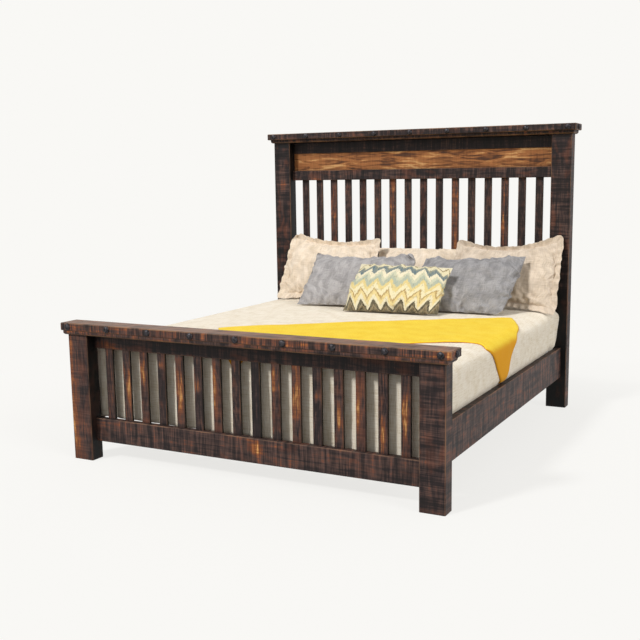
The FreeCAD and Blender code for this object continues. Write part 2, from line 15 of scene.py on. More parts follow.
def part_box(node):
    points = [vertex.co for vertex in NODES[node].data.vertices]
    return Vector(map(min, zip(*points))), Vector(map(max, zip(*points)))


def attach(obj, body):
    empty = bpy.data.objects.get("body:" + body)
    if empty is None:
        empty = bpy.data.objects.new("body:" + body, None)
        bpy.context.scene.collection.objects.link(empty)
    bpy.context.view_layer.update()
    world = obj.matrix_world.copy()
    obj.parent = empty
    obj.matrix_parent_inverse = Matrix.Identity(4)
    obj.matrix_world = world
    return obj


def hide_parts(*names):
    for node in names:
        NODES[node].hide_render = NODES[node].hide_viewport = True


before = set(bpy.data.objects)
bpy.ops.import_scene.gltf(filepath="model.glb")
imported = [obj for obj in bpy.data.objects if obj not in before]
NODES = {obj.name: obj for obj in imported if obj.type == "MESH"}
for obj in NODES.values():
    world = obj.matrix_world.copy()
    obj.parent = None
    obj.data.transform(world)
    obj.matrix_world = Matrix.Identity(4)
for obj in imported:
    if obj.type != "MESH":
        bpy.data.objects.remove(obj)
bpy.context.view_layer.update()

print(len(NODES), "parts in the frame")

# %% [markdown]
# ## Colours and nodes
# Blender's shaders work in linear light, but colours are easier to write as sRGB hex values, as on a screen,
# so one function turns such a value into linear light. Another adds a node, sets it up and links it, so that
# a material reads as a short list of steps.


# %% Colours
def linear(code):
    """An sRGB hex colour as linear red, green, blue and alpha."""
    shares = [int(code[i:i + 2], 16) / 255 for i in (1, 3, 5)]
    return tuple(c / 12.92 if c <= 0.04045 else ((c + 0.055) / 1.055) ** 2.4 for c in shares) + (1.0,)


print("#808080 in linear light:", round(linear("#808080")[0], 3))

# %% Nodes
# Here a mix is one of colours, a mapped value eases in and out, and attributes are the parts' own.
USUAL = {"Mix": {"data_type": "RGBA"}, "MapRange": {"interpolation_type": "SMOOTHSTEP"},
         "Attribute": {"attribute_type": "OBJECT"}}
COLOUR = 2  # the output of a Mix that carries the colour


def plug(tree, node, inputs):
    """Sets or links inputs. Each is a plain value, a hex colour or the output of another node."""
    for key, value in inputs.items() if isinstance(inputs, dict) else enumerate(inputs):
        if isinstance(value, bpy.types.NodeSocket):
            tree.links.new(value, node.inputs[key])
        else:
            node.inputs[key].default_value = linear(value) if isinstance(value, str) else value


def add(tree, kind, inputs=(), out=0, stops=(), **settings):
    """Adds a node with its inputs and settings, and returns the output asked for."""
    made = tree.nodes.new("ShaderNode" + kind)
    for key, value in {**USUAL.get(kind, {}), **settings}.items():
        setattr(made, key, value)
    plug(tree, made, inputs)
    if stops:
        ramp = made.color_ramp
        ramp.elements[0].position, ramp.elements[-1].position = stops[0][0], stops[-1][0]
        for place, _ in stops[1:-1]:
            ramp.elements.new(place)
        for element, (_, colour) in zip(ramp.elements, stops):
            element.color = linear(colour)
    return made.outputs[out]


def new_material(name, **sockets):
    """A material whose shader sockets that are the same all over are set here, by their names."""
    material = bpy.data.materials.new(name)
    material.use_nodes = True
    shader = material.node_tree.nodes["Principled BSDF"]
    plug(material.node_tree, shader, {key.replace("_", " "): value for key, value in sockets.items()})
    return material, material.node_tree, shader


print("kinds of node with settings of their own:", *USUAL)


# %% Patterns in millimetres
def in_mm(tree, place):
    return add(tree, "VectorMath", (place, (1000, 1000, 1000)), operation="MULTIPLY")


def stretched_noise(tree, place, size, detail=2.0, distortion=0.0):
    """Noise whose blobs have that size in millimetres along each direction. place is in millimetres."""
    scaled = add(tree, "VectorMath", (place, [1 / s for s in size]), operation="MULTIPLY")
    return add(tree, "TexNoise", {"Vector": scaled, "Scale": 1.0, "Detail": detail, "Distortion": distortion})


def weighted_sum(tree, *pairs, start=0.0):
    """start plus each value times its weight."""
    total = start
    for value, weight in pairs:
        total = add(tree, "Math", (value, weight, total), operation="MULTIPLY_ADD")
    return total


# %% [markdown]
# ## Rough-sawn pine under a dark stain
# The boards come straight from a bandsaw, which leaves ridges across the board every 5 to 12 mm. A nearly
# black stain is brushed on and rubbed back, so it stays in the hollows, while knots, ridges and edges show
# red-brown, orange and honey. We could paint maps, but noise stretched along the grain, rings round a
# slightly tilted pith and noise squeezed along the board for the saw ridges give each board its own figure at
# its real scale.

# %% Colours of the timber
# From the stain in the hollows to the bare wood: hollow, stain, ridge, red heart, orange, honey.
STAINED = ["#0e0b0b", "#2a2020", "#4f3c36", "#6a4030", "#955a32", "#c8945a"]
HONEY = ["#4e3222", "#80502e", "#a66f42", "#9c6238", "#bd8752", "#d0a06a"]
PLANED = ["#b08f62", "#c9a878", "#d8bb8a", "#cfa873", "#dcc094", "#e8d2a8"]
BARE_SHARES = (0.05, 0.36, 0.56, 0.7, 0.86, 1.0)
print("each timber has", len(BARE_SHARES), "tones")

# %% A board in its tree
# The axes across, deep and along a board, by the direction of its grain.
GRAIN_ORDER = {"x": ("Y", "Z", "X"), "y": ("X", "Z", "Y"), "z": ("X", "Y", "Z")}
# The figure of pine: each pattern's size in mm across, deep and along, its detail and its distortion.
FIGURE = {
    "streak": ((8, 8, 150), 4, 0.5),
    "fibre": ((3, 3, 35), 3),
    "saw": ((160, 160, 7), 2),
    "column": ((170, 170, 32), 2),
    "wear": ((26, 26, 210), 3, 1.0),
    "red_patch": ((60, 60, 150), 2, 0.8),
    "bend": ((70, 70, 220), 2),
}


def in_its_tree(tree, grain, pitch):
    """A point's place in the tree that its board was cut from, its place in the board across, deep and along,
    and how far the board is rubbed back. pitch is the distance in mm between the boards of one node."""
    split = add(tree, "SeparateXYZ", (in_mm(tree, add(tree, "TexCoord", out="Object")),)).node.outputs
    across, depth, along = (split[axis] for axis in GRAIN_ORDER[grain])
    board, rub = (add(tree, "Attribute", out="Fac", attribute_name=name) for name in ("board", "rub"))
    if pitch:
        bay = add(tree, "Math", (split["X"], pitch), operation="DIVIDE")
        board = add(tree, "Math", (board, add(tree, "Math", (bay,), operation="FLOOR")), operation="ADD")
        luck = add(tree, "TexWhiteNoise", {"W": board}, noise_dimensions="1D")
        rub = weighted_sum(tree, (add(tree, "MapRange", (luck, 0.4, 1.0, 0.0, 0.26)), 1.0), (rub, 1.0))
    shift = add(tree, "CombineXYZ", (board, board, board))
    shift = add(tree, "VectorMath", (shift, (317, 211, 1291)), operation="MULTIPLY")
    place = add(tree, "CombineXYZ", (across, depth, along))
    return add(tree, "VectorMath", (place, shift), operation="ADD"), (across, depth, along), rub


def growth_rings(tree, in_board, bend, streak):
    """Waves in the distance from a pith that lies askew behind the board, bent by the tree's growth."""
    across, depth, along = in_board
    pith = weighted_sum(tree, (along, 0.09), (depth, 1.0), (bend, 90.0))
    from_pith = add(tree, "CombineXYZ", (across, pith))
    length = add(tree, "VectorMath", (from_pith,), out="Value", operation="LENGTH")
    return add(tree, "Math", (weighted_sum(tree, (length, 0.5), (streak, 3.0)),), operation="SINE")


print("patterns in a board:", *FIGURE)


# %% What the maker did to one board
def rubbed_spot(tree, share, grain):
    """A place rubbed back further, from the part's own spot: share across, share along and reach along."""
    spot = add(tree, "Attribute", out="Vector", attribute_name="spot")
    across, along, reach = add(tree, "SeparateXYZ", (spot,)).node.outputs
    off_across = add(tree, "Math", (share["Z" if grain != "z" else "X"], across), operation="SUBTRACT")
    off_across = add(tree, "Math", (off_across, 2.4), operation="MULTIPLY")
    off_along = add(tree, "Math", (share[GRAIN_ORDER[grain][2]], along), operation="SUBTRACT")
    off_along = add(tree, "Math", (off_along, reach), operation="DIVIDE")
    off = add(tree, "CombineXYZ", (off_across, off_along))
    off = add(tree, "VectorMath", (off,), out="Value", operation="LENGTH")
    here = add(tree, "MapRange", (off, 0.0, 1.4, 1.0, 0.0))
    return add(tree, "Math", (here, add(tree, "MapRange", (reach, 0.0, 0.01))), operation="MULTIPLY")


def painted_shade_side(tree, normal, share_along):
    """Painted shade: one side of some boards is painted darker, up to a share of their length."""
    side = add(tree, "Attribute", out="Vector", attribute_name="shaded_side")
    side = add(tree, "VectorMath", (normal, side), out="Value", operation="DOT_PRODUCT")
    reach = add(tree, "Attribute", out="Fac", attribute_name="shaded_to")
    beyond = add(tree, "Math", (share_along, reach), operation="SUBTRACT")
    before = add(tree, "MapRange", (beyond, -0.05, 0.05, 1.0, 0.0))
    return add(tree, "Math", (add(tree, "MapRange", (side, 0.6, 0.9)), before), operation="MULTIPLY")


def arrises(tree, normal, wear):
    """The planed-off corners, which face along no axis, and where hands and cloths take the stain away."""
    facing = add(tree, "VectorMath", (normal,), operation="ABSOLUTE")
    facing = add(tree, "SeparateXYZ", (facing,)).node.outputs
    most = add(tree, "Math", (facing[0], facing[1]), operation="MAXIMUM")
    most = add(tree, "Math", (most, facing[2]), operation="MAXIMUM")
    worn = add(tree, "MapRange", (wear, 0.35, 0.65, 0.1, 0.8))
    return add(tree, "Math", (add(tree, "MapRange", (most, 0.8, 0.97, 1.0, 0.0)), worn), operation="MULTIPLY")


print("numbers of a board's own: board, rub, warm, spot, shaded_side, shaded_to")

# %% Timber
RELIEF = 0.0012


def timber(name, grain, tones, arris_colour, mottle=0.45, saw_share=0.8, pitch=0.0, corner_shade=1.0,
           spot_gain=0.42, wear_gain=0.7, top_wear_and_sheen=0.0):
    """Sawn board with its grain along x, y or z. mottle and saw_share say how much the figure and the saw
    marks show, corner_shade how much shade is painted into corners and recesses, spot_gain what a rubbed spot
    adds, wear_gain how much light and dark places differ, and top_wear_and_sheen how far the upper side is
    painted a pale dusty tan, for wear and dust and as painted sheen."""
    material, tree, shader = new_material(name, Specular_IOR_Level=0.24)
    place, in_board, rub = in_its_tree(tree, grain, pitch)
    noises = [stretched_noise(tree, place, *figure) for figure in FIGURE.values()]
    streak, fibre, saw, column, wear, red_patch, bend = noises
    ring = growth_rings(tree, in_board, bend, streak)
    share = add(tree, "SeparateXYZ", (add(tree, "TexCoord", out="Generated"),)).node.outputs
    normal = add(tree, "NewGeometry", out="True Normal")
    spot = rubbed_spot(tree, share, grain)
    side_shade = painted_shade_side(tree, normal, share[GRAIN_ORDER[grain][2]])
    # How far the wood is bare there, from the stain in the hollows up to the honey of rubbed ridges. The side
    # with painted shade is set lower, which paints it darker.
    bare = weighted_sum(tree, (wear, wear_gain), (streak, 0.9 * mottle), (fibre, 0.5 * mottle),
                        (saw, 0.5 * saw_share), (column, 0.8 * saw_share), (ring, 0.05 * mottle), (rub, 1.0),
                        (side_shade, -0.5), (spot, spot_gain),
                        start=0.45 - 0.5 * wear_gain - 0.7 * mottle - 0.65 * saw_share)
    colour = add(tree, "ValToRGB", (bare,), stops=list(zip(BARE_SHARES, tones)))
    warm = add(tree, "Attribute", out="Fac", attribute_name="warm")
    red = weighted_sum(tree, (red_patch, 1.0), (column, 0.3), (warm, 0.6))
    red = add(tree, "MapRange", (red, 0.66, 0.9, 0.0, 0.5))
    colour = add(tree, "Mix", {0: red, 6: colour, 7: tones[3]}, COLOUR)
    # The saw ridges shade the stain.
    ridges = weighted_sum(tree, (saw, 0.6), (column, 0.4))
    ridges = add(tree, "MapRange", (ridges, 0.34, 0.66, 1 - 0.58 * saw_share, 1 + 0.42 * saw_share))
    colour = add(tree, "VectorMath", {0: colour, "Scale": ridges}, operation="SCALE")
    # Wear, dust and painted sheen: upward faces are blended towards a pale dusty tan.
    upper = add(tree, "MapRange", (add(tree, "SeparateXYZ", (normal,), 2), 0.7, 0.95))
    worn_and_sheen_top = add(tree, "MapRange", (wear, 0.3, 0.6, 0.3 * top_wear_and_sheen, top_wear_and_sheen))
    worn_and_sheen_top = add(tree, "Math", (upper, worn_and_sheen_top), operation="MULTIPLY")
    colour = add(tree, "Mix", {0: worn_and_sheen_top, 6: colour, 7: "#9a7d6c"}, COLOUR)
    colour = add(tree, "Mix", {0: arrises(tree, normal, wear), 6: colour, 7: arris_colour}, COLOUR)
    # Painted shade: darker where boards meet and in recesses, by ambient occlusion, and darker still on the
    # side with painted shade.
    open_air = add(tree, "AmbientOcclusion", {"Distance": 0.22}, "AO", samples=6)
    corner = add(tree, "MapRange", (open_air, 0.1, 0.85, 1 - 0.75 * corner_shade, 1.0))
    hidden = add(tree, "Math", (corner, side_shade), operation="MULTIPLY")
    corner = weighted_sum(tree, (hidden, -0.75), (corner, 1.0))
    colour = add(tree, "VectorMath", {0: colour, "Scale": corner}, operation="SCALE")
    rough = weighted_sum(tree, (fibre, 0.25), (saw, 0.15), start=0.36)
    marks = [(saw, 1.2 * saw_share), (column, 0.8 * saw_share), (streak, 0.5), (fibre, 0.3)]
    height = weighted_sum(tree, *marks)
    bump = add(tree, "Bump", {"Height": height, "Strength": 0.8, "Distance": RELIEF})
    plug(tree, shader, {"Base Color": colour, "Roughness": rough, "Normal": bump})
    return material


print("saw marks stand", RELIEF * 1000, "mm high")

# %% Finishes of the timber
SPINDLE_PITCH = (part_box("footboard_spindle_02")[0].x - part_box("footboard_spindle_01")[0].x) * 1000
caps = timber("stained_pine_caps", "x", STAINED, "#8d6a4b", mottle=0.35, saw_share=1.0, top_wear_and_sheen=0.6)
stained = {axis: timber(f"stained_pine_{use}", axis, STAINED, "#84624a", mottle=mottle, saw_share=saw_share)
           for axis, use, mottle, saw_share in (("x", "rails", 0.35, 0.8), ("y", "side_rails", 0.15, 1.0),
                                                ("z", "posts", 0.8, 0.4))}
sawn_post = timber("stained_pine_sawn_posts", "z", STAINED, "#84624a", mottle=0.35, saw_share=0.75)
FINE = {"mottle": 1.15, "saw_share": 0.3}
stained_spindle = timber("stained_pine_spindle", "z", STAINED, "#7a583c", **FINE)
stained_row = timber("stained_pine_row_of_spindles", "z", STAINED, "#7a583c", pitch=SPINDLE_PITCH, **FINE)
panel_pine = timber("honey_pine_panel", "x", HONEY, "#c79b62", mottle=0.65, saw_share=0.2, corner_shade=0.85,
                    spot_gain=-0.35, wear_gain=3.0)
plain = {axis: timber(f"planed_pine_{axis}", axis, PLANED, "#dcc094", saw_share=0.2, corner_shade=0.3)
         for axis in "xyz"}
print(len(bpy.data.materials), "materials, spindle pitch", round(SPINDLE_PITCH, 1), "mm")

# %% [markdown]
# ## Which board shows what
# The stained boards share a few finishes, and numbers make each board its own: how far it is rubbed back, how
# warm the colour under the stain is, and where the maker rubbed a patch right through, as a share of its
# width, a share of its length and a reach. One side of some boards is painted darker, as painted shade.

# %% Boards
NO_SPOT = (0.0, 0.0, 0.0)
BOARDS = {
    "footboard_cap": (caps, 0.12, 0.0, NO_SPOT), "footboard_moulding": (caps, 0.08, 0.0, NO_SPOT),
    "footboard_top_rail": (stained["x"], -0.08, 0.0, (0.3, 0.075, 0.05)),
    "footboard_bottom_rail": (stained["x"], 0.03, -0.1, (0.6, 0.53, 0.03)),
    "footboard_post_left": (stained["z"], -0.02, 0.18, (0.08, 0.35, 0.8)),
    "footboard_post_right": (sawn_post, -0.03, 0.05, NO_SPOT),
    "headboard_cap": (caps, -0.06, 0.0, NO_SPOT), "headboard_moulding": (caps, 0.0, 0.05, NO_SPOT),
    "headboard_top_rail": (stained["x"], -0.17, -0.3, NO_SPOT),
    "headboard_middle_rail": (stained["x"], -0.05, 0.0, (0.05, 0.12, 0.03)),
    "headboard_bottom_rail": (stained["x"], -0.1, -0.1, NO_SPOT),
    "headboard_post_left": (sawn_post, -0.24, 0.0, (0.5, 0.84, 0.1)),
    "headboard_post_right": (sawn_post, -0.1, 0.0, NO_SPOT),
    "side_rail_left": (stained["y"], 0.0, 0.0, NO_SPOT), "side_rail_right": (stained["y"], 0.0, 0.0, NO_SPOT),
}
SPINDLES = [(0.0, -0.05, NO_SPOT), (0.0, 0.0, (0.85, 0.5, 0.35)), (0.0, 0.1, (0.4, 0.72, 0.22)),
            (-0.1, 0.0, (0.45, 0.82, 0.06)), (0.05, 0.05, (0.5, 0.5, 0.3)), (-0.06, -0.05, (0.5, 0.6, 0.1)),
            (0.0, 0.15, (0.2, 0.62, 0.4)), (-0.05, 0.0, NO_SPOT), (-0.2, -0.3, NO_SPOT),
            (0.0, 0.0, (0.3, 0.75, 0.25)), (0.1, 0.2, (0.5, 0.55, 0.25)), (-0.12, 0.0, (0.5, 0.62, 0.08)),
            (0.0, 0.0, (0.6, 0.4, 0.2)), (0.04, 0.15, (0.25, 0.6, 0.4)), (0.0, 0.0, (0.5, 0.25, 0.25)),
            (0.05, 0.1, (0.45, 0.5, 0.3))]
for number, (rub, warm, spot) in enumerate(SPINDLES, 1):
    BOARDS[f"footboard_spindle_{number:02d}"] = (stained_spindle, rub, warm, spot)
print(len(BOARDS), "boards of the two slatted boards and the sides")


# %% Finish on the boards
def dress(node, material, board=0.0, rub=0.0, warm=0.0, spot=NO_SPOT):
    """Gives a part of the frame its finish and the numbers that the finish reads."""
    piece = NODES[node]
    for slot in piece.material_slots:
        slot.material = material
    piece["board"], piece["rub"], piece["warm"], piece["spot"] = float(board), rub, warm, list(spot)


def paint_shade_on_side(node, side, share):
    """Sets one side of a board to take painted shade, up to that share of its length."""
    NODES[node]["shaded_side"], NODES[node]["shaded_to"] = side, share


# Painted shade: right sides of the spindles and of the left foot post, lower front of the right head post.
RIGHT_SIDE, FRONT_SIDE = [1.0, 0.0, 0.0], [0.0, -1.0, 0.0]
for number, (node, (material, rub, warm, spot)) in enumerate(BOARDS.items(), 1):
    dress(node, material, number, rub, warm, spot)
    if "spindle" in node or node.endswith("post_left"):
        paint_shade_on_side(node, RIGHT_SIDE, 2.0)
paint_shade_on_side("headboard_post_right", FRONT_SIDE, 0.42)
dress("headboard_spindles", stained_row, 60, -0.08)
paint_shade_on_side("headboard_spindles", RIGHT_SIDE, 2.0)
dress("headboard_panel", panel_pine, 61, 0.06, 0.1, (0.5, 0.38, 0.07))
PLAIN_PARTS = [("cleat_left", "y"), ("cleat_right", "y"), ("bed_slats", "x"), ("centre_beam", "y"),
               ("centre_legs", "z")]
for number, (node, axis) in enumerate(PLAIN_PARTS, 70):
    dress(node, plain[axis], number)
print(len(BOARDS) + 2 + len(PLAIN_PARTS), "parts finished")

# %% [markdown]
# ## Forged iron and bracket steel
# The nails, called clavos, are forged: a hot rod is hammered into a domed head, so the surface is a set of
# small dents, nearly black, with a dull shine on the high places. The hooks and slot plates inside the joints
# are plain mild steel with a thin zinc skin.


# %% Metals
def metal(name, patch, detail, stops, rough, dent=0.0):
    """patch is the size of the patches in the metal's skin, dent that of the hammer's marks, both in mm."""
    material, tree, shader = new_material(name, Metallic=1.0)
    mm = in_mm(tree, add(tree, "TexCoord", out="Object"))
    skin = stretched_noise(tree, mm, (patch, patch, patch), detail)
    plug(tree, shader, {"Base Color": add(tree, "ValToRGB", (skin,), stops=stops),
                        "Roughness": add(tree, "MapRange", (skin, 0.3, 0.7, *rough))})
    if dent:
        dents = add(tree, "TexVoronoi", {"Vector": mm, "Scale": 1 / dent}, "Distance", feature="SMOOTH_F1")
        bump = add(tree, "Bump", {"Height": dents, "Strength": 0.6, "Distance": 0.0015})
        plug(tree, shader, {"Normal": bump})
    return material


iron = metal("forged_iron", 9, 3, [(0.35, "#232224"), (0.65, "#4a474a")], (0.34, 0.58), dent=6.0)
zinc = metal("zinc_plated_mild_steel", 14, 2, [(0.3, "#8c8f92"), (0.7, "#b4b6b8")], (0.32, 0.5))
for node in ("rail_hook_plates", "post_slot_plates"):
    dress(node, zinc)
print("metals:", iron.name, zinc.name)

# %% [markdown]
# ## Cloth
# Linen is woven from uneven flax threads, so thicker threads, called slubs, show as short lines both ways.
# Real threads are about 0.6 mm apart, which is too fine to show from here, so the weave is drawn 2.5 to 5 mm
# wide. Cloth scatters light at its nap: rough, hardly any mirror light, and some sheen at the edges. The
# pattern lies in the flat cloth's own place, kept as UVs in metres, so it bends with every fold.


# %% Woven cloth
def woven(name, dark, body, light, thread=4.0, slub=70.0, crease=0.5, wrinkle=0.0, hanging_shade=None, **sockets):
    """Plain weave with slubs both ways and soft creases. thread and slub are in millimetres. wrinkle says how
    much shade is painted into the creases, with a little painted light on their ridges. Where the cloth
    hangs, it is painted the darker colour hanging_shade, as painted shade."""
    material, tree, shader = new_material(name, **sockets)
    mm = in_mm(tree, add(tree, "UVMap"))
    warp = stretched_noise(tree, mm, (thread, slub, thread), 2)
    weft = stretched_noise(tree, mm, (slub, thread, thread), 2)
    cloudy = stretched_noise(tree, mm, (90, 90, 90), 2)
    weave = weighted_sum(tree, (warp, 0.5), (weft, 0.5), (cloudy, 0.3), start=-0.15)
    colour = add(tree, "ValToRGB", (weave,), stops=[(0.36, dark), (0.5, body), (0.64, light)])
    # Painted shade: where the cloth hangs, it is blended towards a darker colour.
    if hanging_shade:
        upper = add(tree, "SeparateXYZ", (add(tree, "NewGeometry", out="Normal"),), 2)
        upright = add(tree, "MapRange", (upper, 0.1, 0.8, 0.85, 0.0))
        colour = add(tree, "Mix", {0: upright, 6: colour, 7: hanging_shade}, COLOUR)
    creases = stretched_noise(tree, mm, (45, 60, 45), 3, 0.6)
    # Painted shade in the hollows of the creases and painted light on their ridges.
    shade = add(tree, "MapRange", (creases, 0.34, 0.62, 1.0 - 0.16 * wrinkle, 1.0 + 0.08 * wrinkle))
    threads = add(tree, "Bump", {"Height": weave, "Strength": 0.35, "Distance": 0.0012})
    soft = add(tree, "Bump", {"Height": creases, "Strength": crease, "Distance": 0.006, "Normal": threads})
    colour = add(tree, "VectorMath", {0: colour, "Scale": shade}, operation="SCALE")
    plug(tree, shader, {"Base Color": colour, "Normal": soft})
    return material


CLOTH = {"Roughness": 0.9, "Specular_IOR_Level": 0.25, "Sheen_Weight": 0.15, "Sheen_Roughness": 0.5}
OATMEAL = {"thread": 3.0, "slub": 55.0, "crease": 0.8, "wrinkle": 0.6}
GREY = {"thread": 2.5, "slub": 40.0, "crease": 1.0, "wrinkle": 1.2}
beige_linen = woven("washed_linen_oatmeal", "#d1bea3", "#e4d2bc", "#eee0cd", **OATMEAL, **CLOTH)
# A darker copy of the oatmeal linen, for the right sham.
darker_oatmeal_linen = woven("washed_linen_oatmeal_dark", "#bfad97", "#d2c1ad", "#e0d1be", **OATMEAL, **CLOTH)
coverlet_linen = woven("washed_linen_coverlet", "#ded0b5", "#efe3cf", "#f8f0df", thread=5.0, crease=0.4,
                       **CLOTH)
grey_linen = woven("washed_linen_grey", "#828081", "#929090", "#a3a0a0", **GREY, **CLOTH)
# Painted light: a lighter copy of the grey linen, for the left grey pillow.
grey_linen_painted_lit = woven("washed_linen_grey_painted_lit", "#93908f", "#a5a1a0", "#b6b2b0", **GREY, **CLOTH)
# The throw's hanging part is painted a darker orange-gold, as painted shade.
yellow_cotton = woven("yellow_cotton_knit", "#eec224", "#f5d236", "#fadc4e", slub=8.0, crease=0.15,
                      hanging_shade="#e2961a", Roughness=0.9, Specular_IOR_Level=0.2, Sheen_Weight=0.04)
ticking = woven("cotton_ticking", "#d9d6cf", "#e8e6e0", "#f3f2ee", thread=3.0, slub=30.0, **CLOTH)
CLOTHS = (beige_linen, darker_oatmeal_linen, coverlet_linen, grey_linen, grey_linen_painted_lit, yellow_cotton, ticking)
print("cloths:", *(cloth.name for cloth in CLOTHS))

# %% Zigzag cotton
ZIGZAG_WIDTH, ZIGZAG_HEIGHT = 610.0, 356.0
HALF_ZIGZAG = 39.0
BANDS = [(0.0, "#2b241c"), (0.07, "#54442f"), (0.12, "#7a6c54"), (0.17, "#2d261f"), (0.245, "#ddd4b6"),
         (0.31, "#dcc78a"), (0.37, "#a98a50"), (0.4, "#e2d8b2"), (0.47, "#d8c484"), (0.53, "#a3aea0"),
         (0.59, "#c3c5ac"), (0.64, "#e3dabf"), (0.71, "#536c78"), (0.78, "#7b8379"), (0.81, "#ddd3b0"),
         (0.9, "#857049"), (0.93, "#e0d7bb")]


def zigzag_cotton(name):
    """Printed cotton: rows of zigzags of uneven depth, with the broken edges of a flame stitch."""
    material, tree, shader = new_material(name, **CLOTH)
    mm = in_mm(tree, add(tree, "UVMap"))
    across, up, _ = add(tree, "SeparateXYZ", (mm,)).node.outputs
    jitter = stretched_noise(tree, mm, (4, 30, 4), 3)
    drift = stretched_noise(tree, mm, (60, 300, 60), 1)
    along = weighted_sum(tree, (across, 1.0), (drift, 26.0))
    peak = add(tree, "Math", (along, HALF_ZIGZAG), operation="PINGPONG")
    tall = add(tree, "MapRange", (up, 20.0, 150.0, 2.1, 1.05))
    peak = add(tree, "Math", (peak, tall), operation="MULTIPLY")
    level = weighted_sum(tree, (up, 1.0), (peak, 1.0), (jitter, 34.0), (drift, 26.0), start=-56.0)
    share = add(tree, "Math", (level, ZIGZAG_HEIGHT), operation="DIVIDE")
    colour = add(tree, "ValToRGB", (share,), stops=BANDS)
    colour.node.color_ramp.interpolation = "CONSTANT"
    threads = stretched_noise(tree, mm, (3, 30, 3), 2)
    thin = add(tree, "MapRange", (threads, 0.35, 0.65, 0.3, 0.0))
    colour = add(tree, "Mix", {0: thin, 6: colour, 7: "#d0c49c"}, COLOUR)
    fleck = add(tree, "MapRange", (stretched_noise(tree, mm, (9, 14, 9), 3), 0.56, 0.68, 0.0, 0.45))
    plug(tree, shader, {"Base Color": add(tree, "Mix", {0: fleck, 6: colour, 7: "#8a7a58"}, COLOUR),
                        "Normal": add(tree, "Bump", {"Height": threads, "Strength": 0.3, "Distance": 0.001})})
    return material


zigzag = zigzag_cotton("printed_cotton_zigzag")
print(zigzag.name, "with", len(BANDS), "bands")

# %% [markdown]
# ## Making a mesh from lists
# Every soft piece here starts as a sheet of quads with its flat place as UVs. One helper turns points, faces
# and UVs into a smooth-shaded object, one lists the squares of a grid, and one puts the piece in its solid's
# place.


# %% Mesh helpers
def make_piece(name, points, faces, uvs, material):
    """points in millimetres, faces as lists of point numbers, uvs in metres for each corner of each face."""
    mesh = bpy.data.meshes.new(name)
    mesh.from_pydata([Vector(p) * 0.001 for p in points], [], faces)
    if uvs:
        layer = mesh.uv_layers.new(name="flat_cloth")
        layer.data.foreach_set("uv", np.array(uvs, dtype=np.float32).ravel())
    mesh.shade_smooth()
    mesh.materials.append(material)
    piece = bpy.data.objects.new(name, mesh)
    bpy.context.scene.collection.objects.link(piece)
    return piece


def squares(rows, columns):
    """The corners of every square of a grid, as pairs of a row and a column."""
    return [[(i, j), (i + 1, j), (i + 1, j + 1), (i, j + 1)] for i in range(rows) for j in range(columns)]


def stand_in(piece, node, body):
    """Puts a modelled piece in the place of a plain solid."""
    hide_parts(node)
    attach(piece, body)
    print(piece.name, len(piece.data.polygons), "faces")


print("a grid of 2 by 3 has", len(squares(2, 3)), "squares")


# %% Places and shapes in millimetres
def box_mm(node):
    low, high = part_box(node)
    return low * 1000, high * 1000


def ripple(x, y, z, size):
    """Smooth noise from -1 to 1 with bumps of that size in millimetres."""
    return noise.noise(Vector((x, y, z)) / size)


def share_of(value):
    """The value, kept between 0 and 1."""
    return min(max(value, 0.0), 1.0)


print("mattress from", *[[round(c) for c in corner] for corner in box_mm("mattress")], "mm")

# %% [markdown]
# ## Forged nail heads
# Each head is a dome about 35 mm wide and 11 mm high. Turned on a lathe it would be a perfect cap, so the
# points of the cap are pushed about with noise, as a hammer does.

# %% One nail head
STUD_RADIUS, STUD_HEIGHT = 17.5, 11.0
RINGS, SEGMENTS = 7, 24
HAMMERED = 0.07


def dome(centre, axis, seed):
    """Points and faces of one hammered dome whose flat side lies on the board."""
    turn = Vector((0, 0, 1)).rotation_difference(axis).to_matrix()
    points = []
    for ring in range(RINGS + 1):
        angle = math.pi / 2 * ring / RINGS
        for segment in range(SEGMENTS):
            around = 2 * math.pi * segment / SEGMENTS
            wide, high = math.cos(angle), math.sin(angle)
            local = Vector((wide * math.cos(around), wide * math.sin(around), high))
            dent = 1 + HAMMERED * noise.noise(local * 2.6 + Vector((seed * 3.7, 0, 0)))
            size = Vector((STUD_RADIUS, STUD_RADIUS, STUD_HEIGHT)) * dent
            points.append(centre + turn @ (local * size))
    faces = [[r * SEGMENTS + s % SEGMENTS for s, r in square] for square in squares(SEGMENTS, RINGS)]
    faces.append([SEGMENTS - 1 - i for i in range(SEGMENTS)])
    return points, faces


print("a nail head has", (RINGS + 1) * SEGMENTS, "points")

# %% Clavos
STUDS_IN_A_ROW = 9
STUD_INSET = 50.0


def clavos(prefix):
    """The eleven nail heads of one cap board: nine along its front edge and one on each end."""
    low, high = box_mm(prefix + "_cap")
    middle = (low + high) / 2
    row = np.linspace(STUD_INSET - high.x, high.x - STUD_INSET, STUDS_IN_A_ROW)
    places = [((x, low.y, middle.z), (0, -1, 0)) for x in row]
    places += [((high.x, middle.y, middle.z), (1, 0, 0)), ((low.x, middle.y, middle.z), (-1, 0, 0))]
    points, faces = [], []
    for seed, (centre, axis) in enumerate(places):
        more, round_it = dome(Vector(centre), Vector(axis), seed + len(prefix))
        faces += [[i + len(points) for i in face] for face in round_it]
        points += more
    piece = make_piece(prefix + "_clavos", points, faces, None, iron)
    stand_in(piece, prefix + "_studs", "frame")


clavos("footboard")
clavos("headboard")

# %% [markdown]
# ## Box spring and mattress
# Both are upholstered blocks, hidden by the coverlet but there when it is lifted off. A block of quads whose
# rows crowd towards the edges is pushed onto a rounded box, and both are piped round their edges with a cord
# sewn into the seam. The mattress is quilted in diamonds, and its long edges have sunk a little, as they do
# where people sit down.

# %% Edges that give way
coverlet_low, coverlet_high = box_mm("coverlet")
TOP, HALF = coverlet_high.z, coverlet_high.x
SUNK_LEFT, SUNK_RIGHT, FIRM_HALF = 26.0, 14.0, 700.0


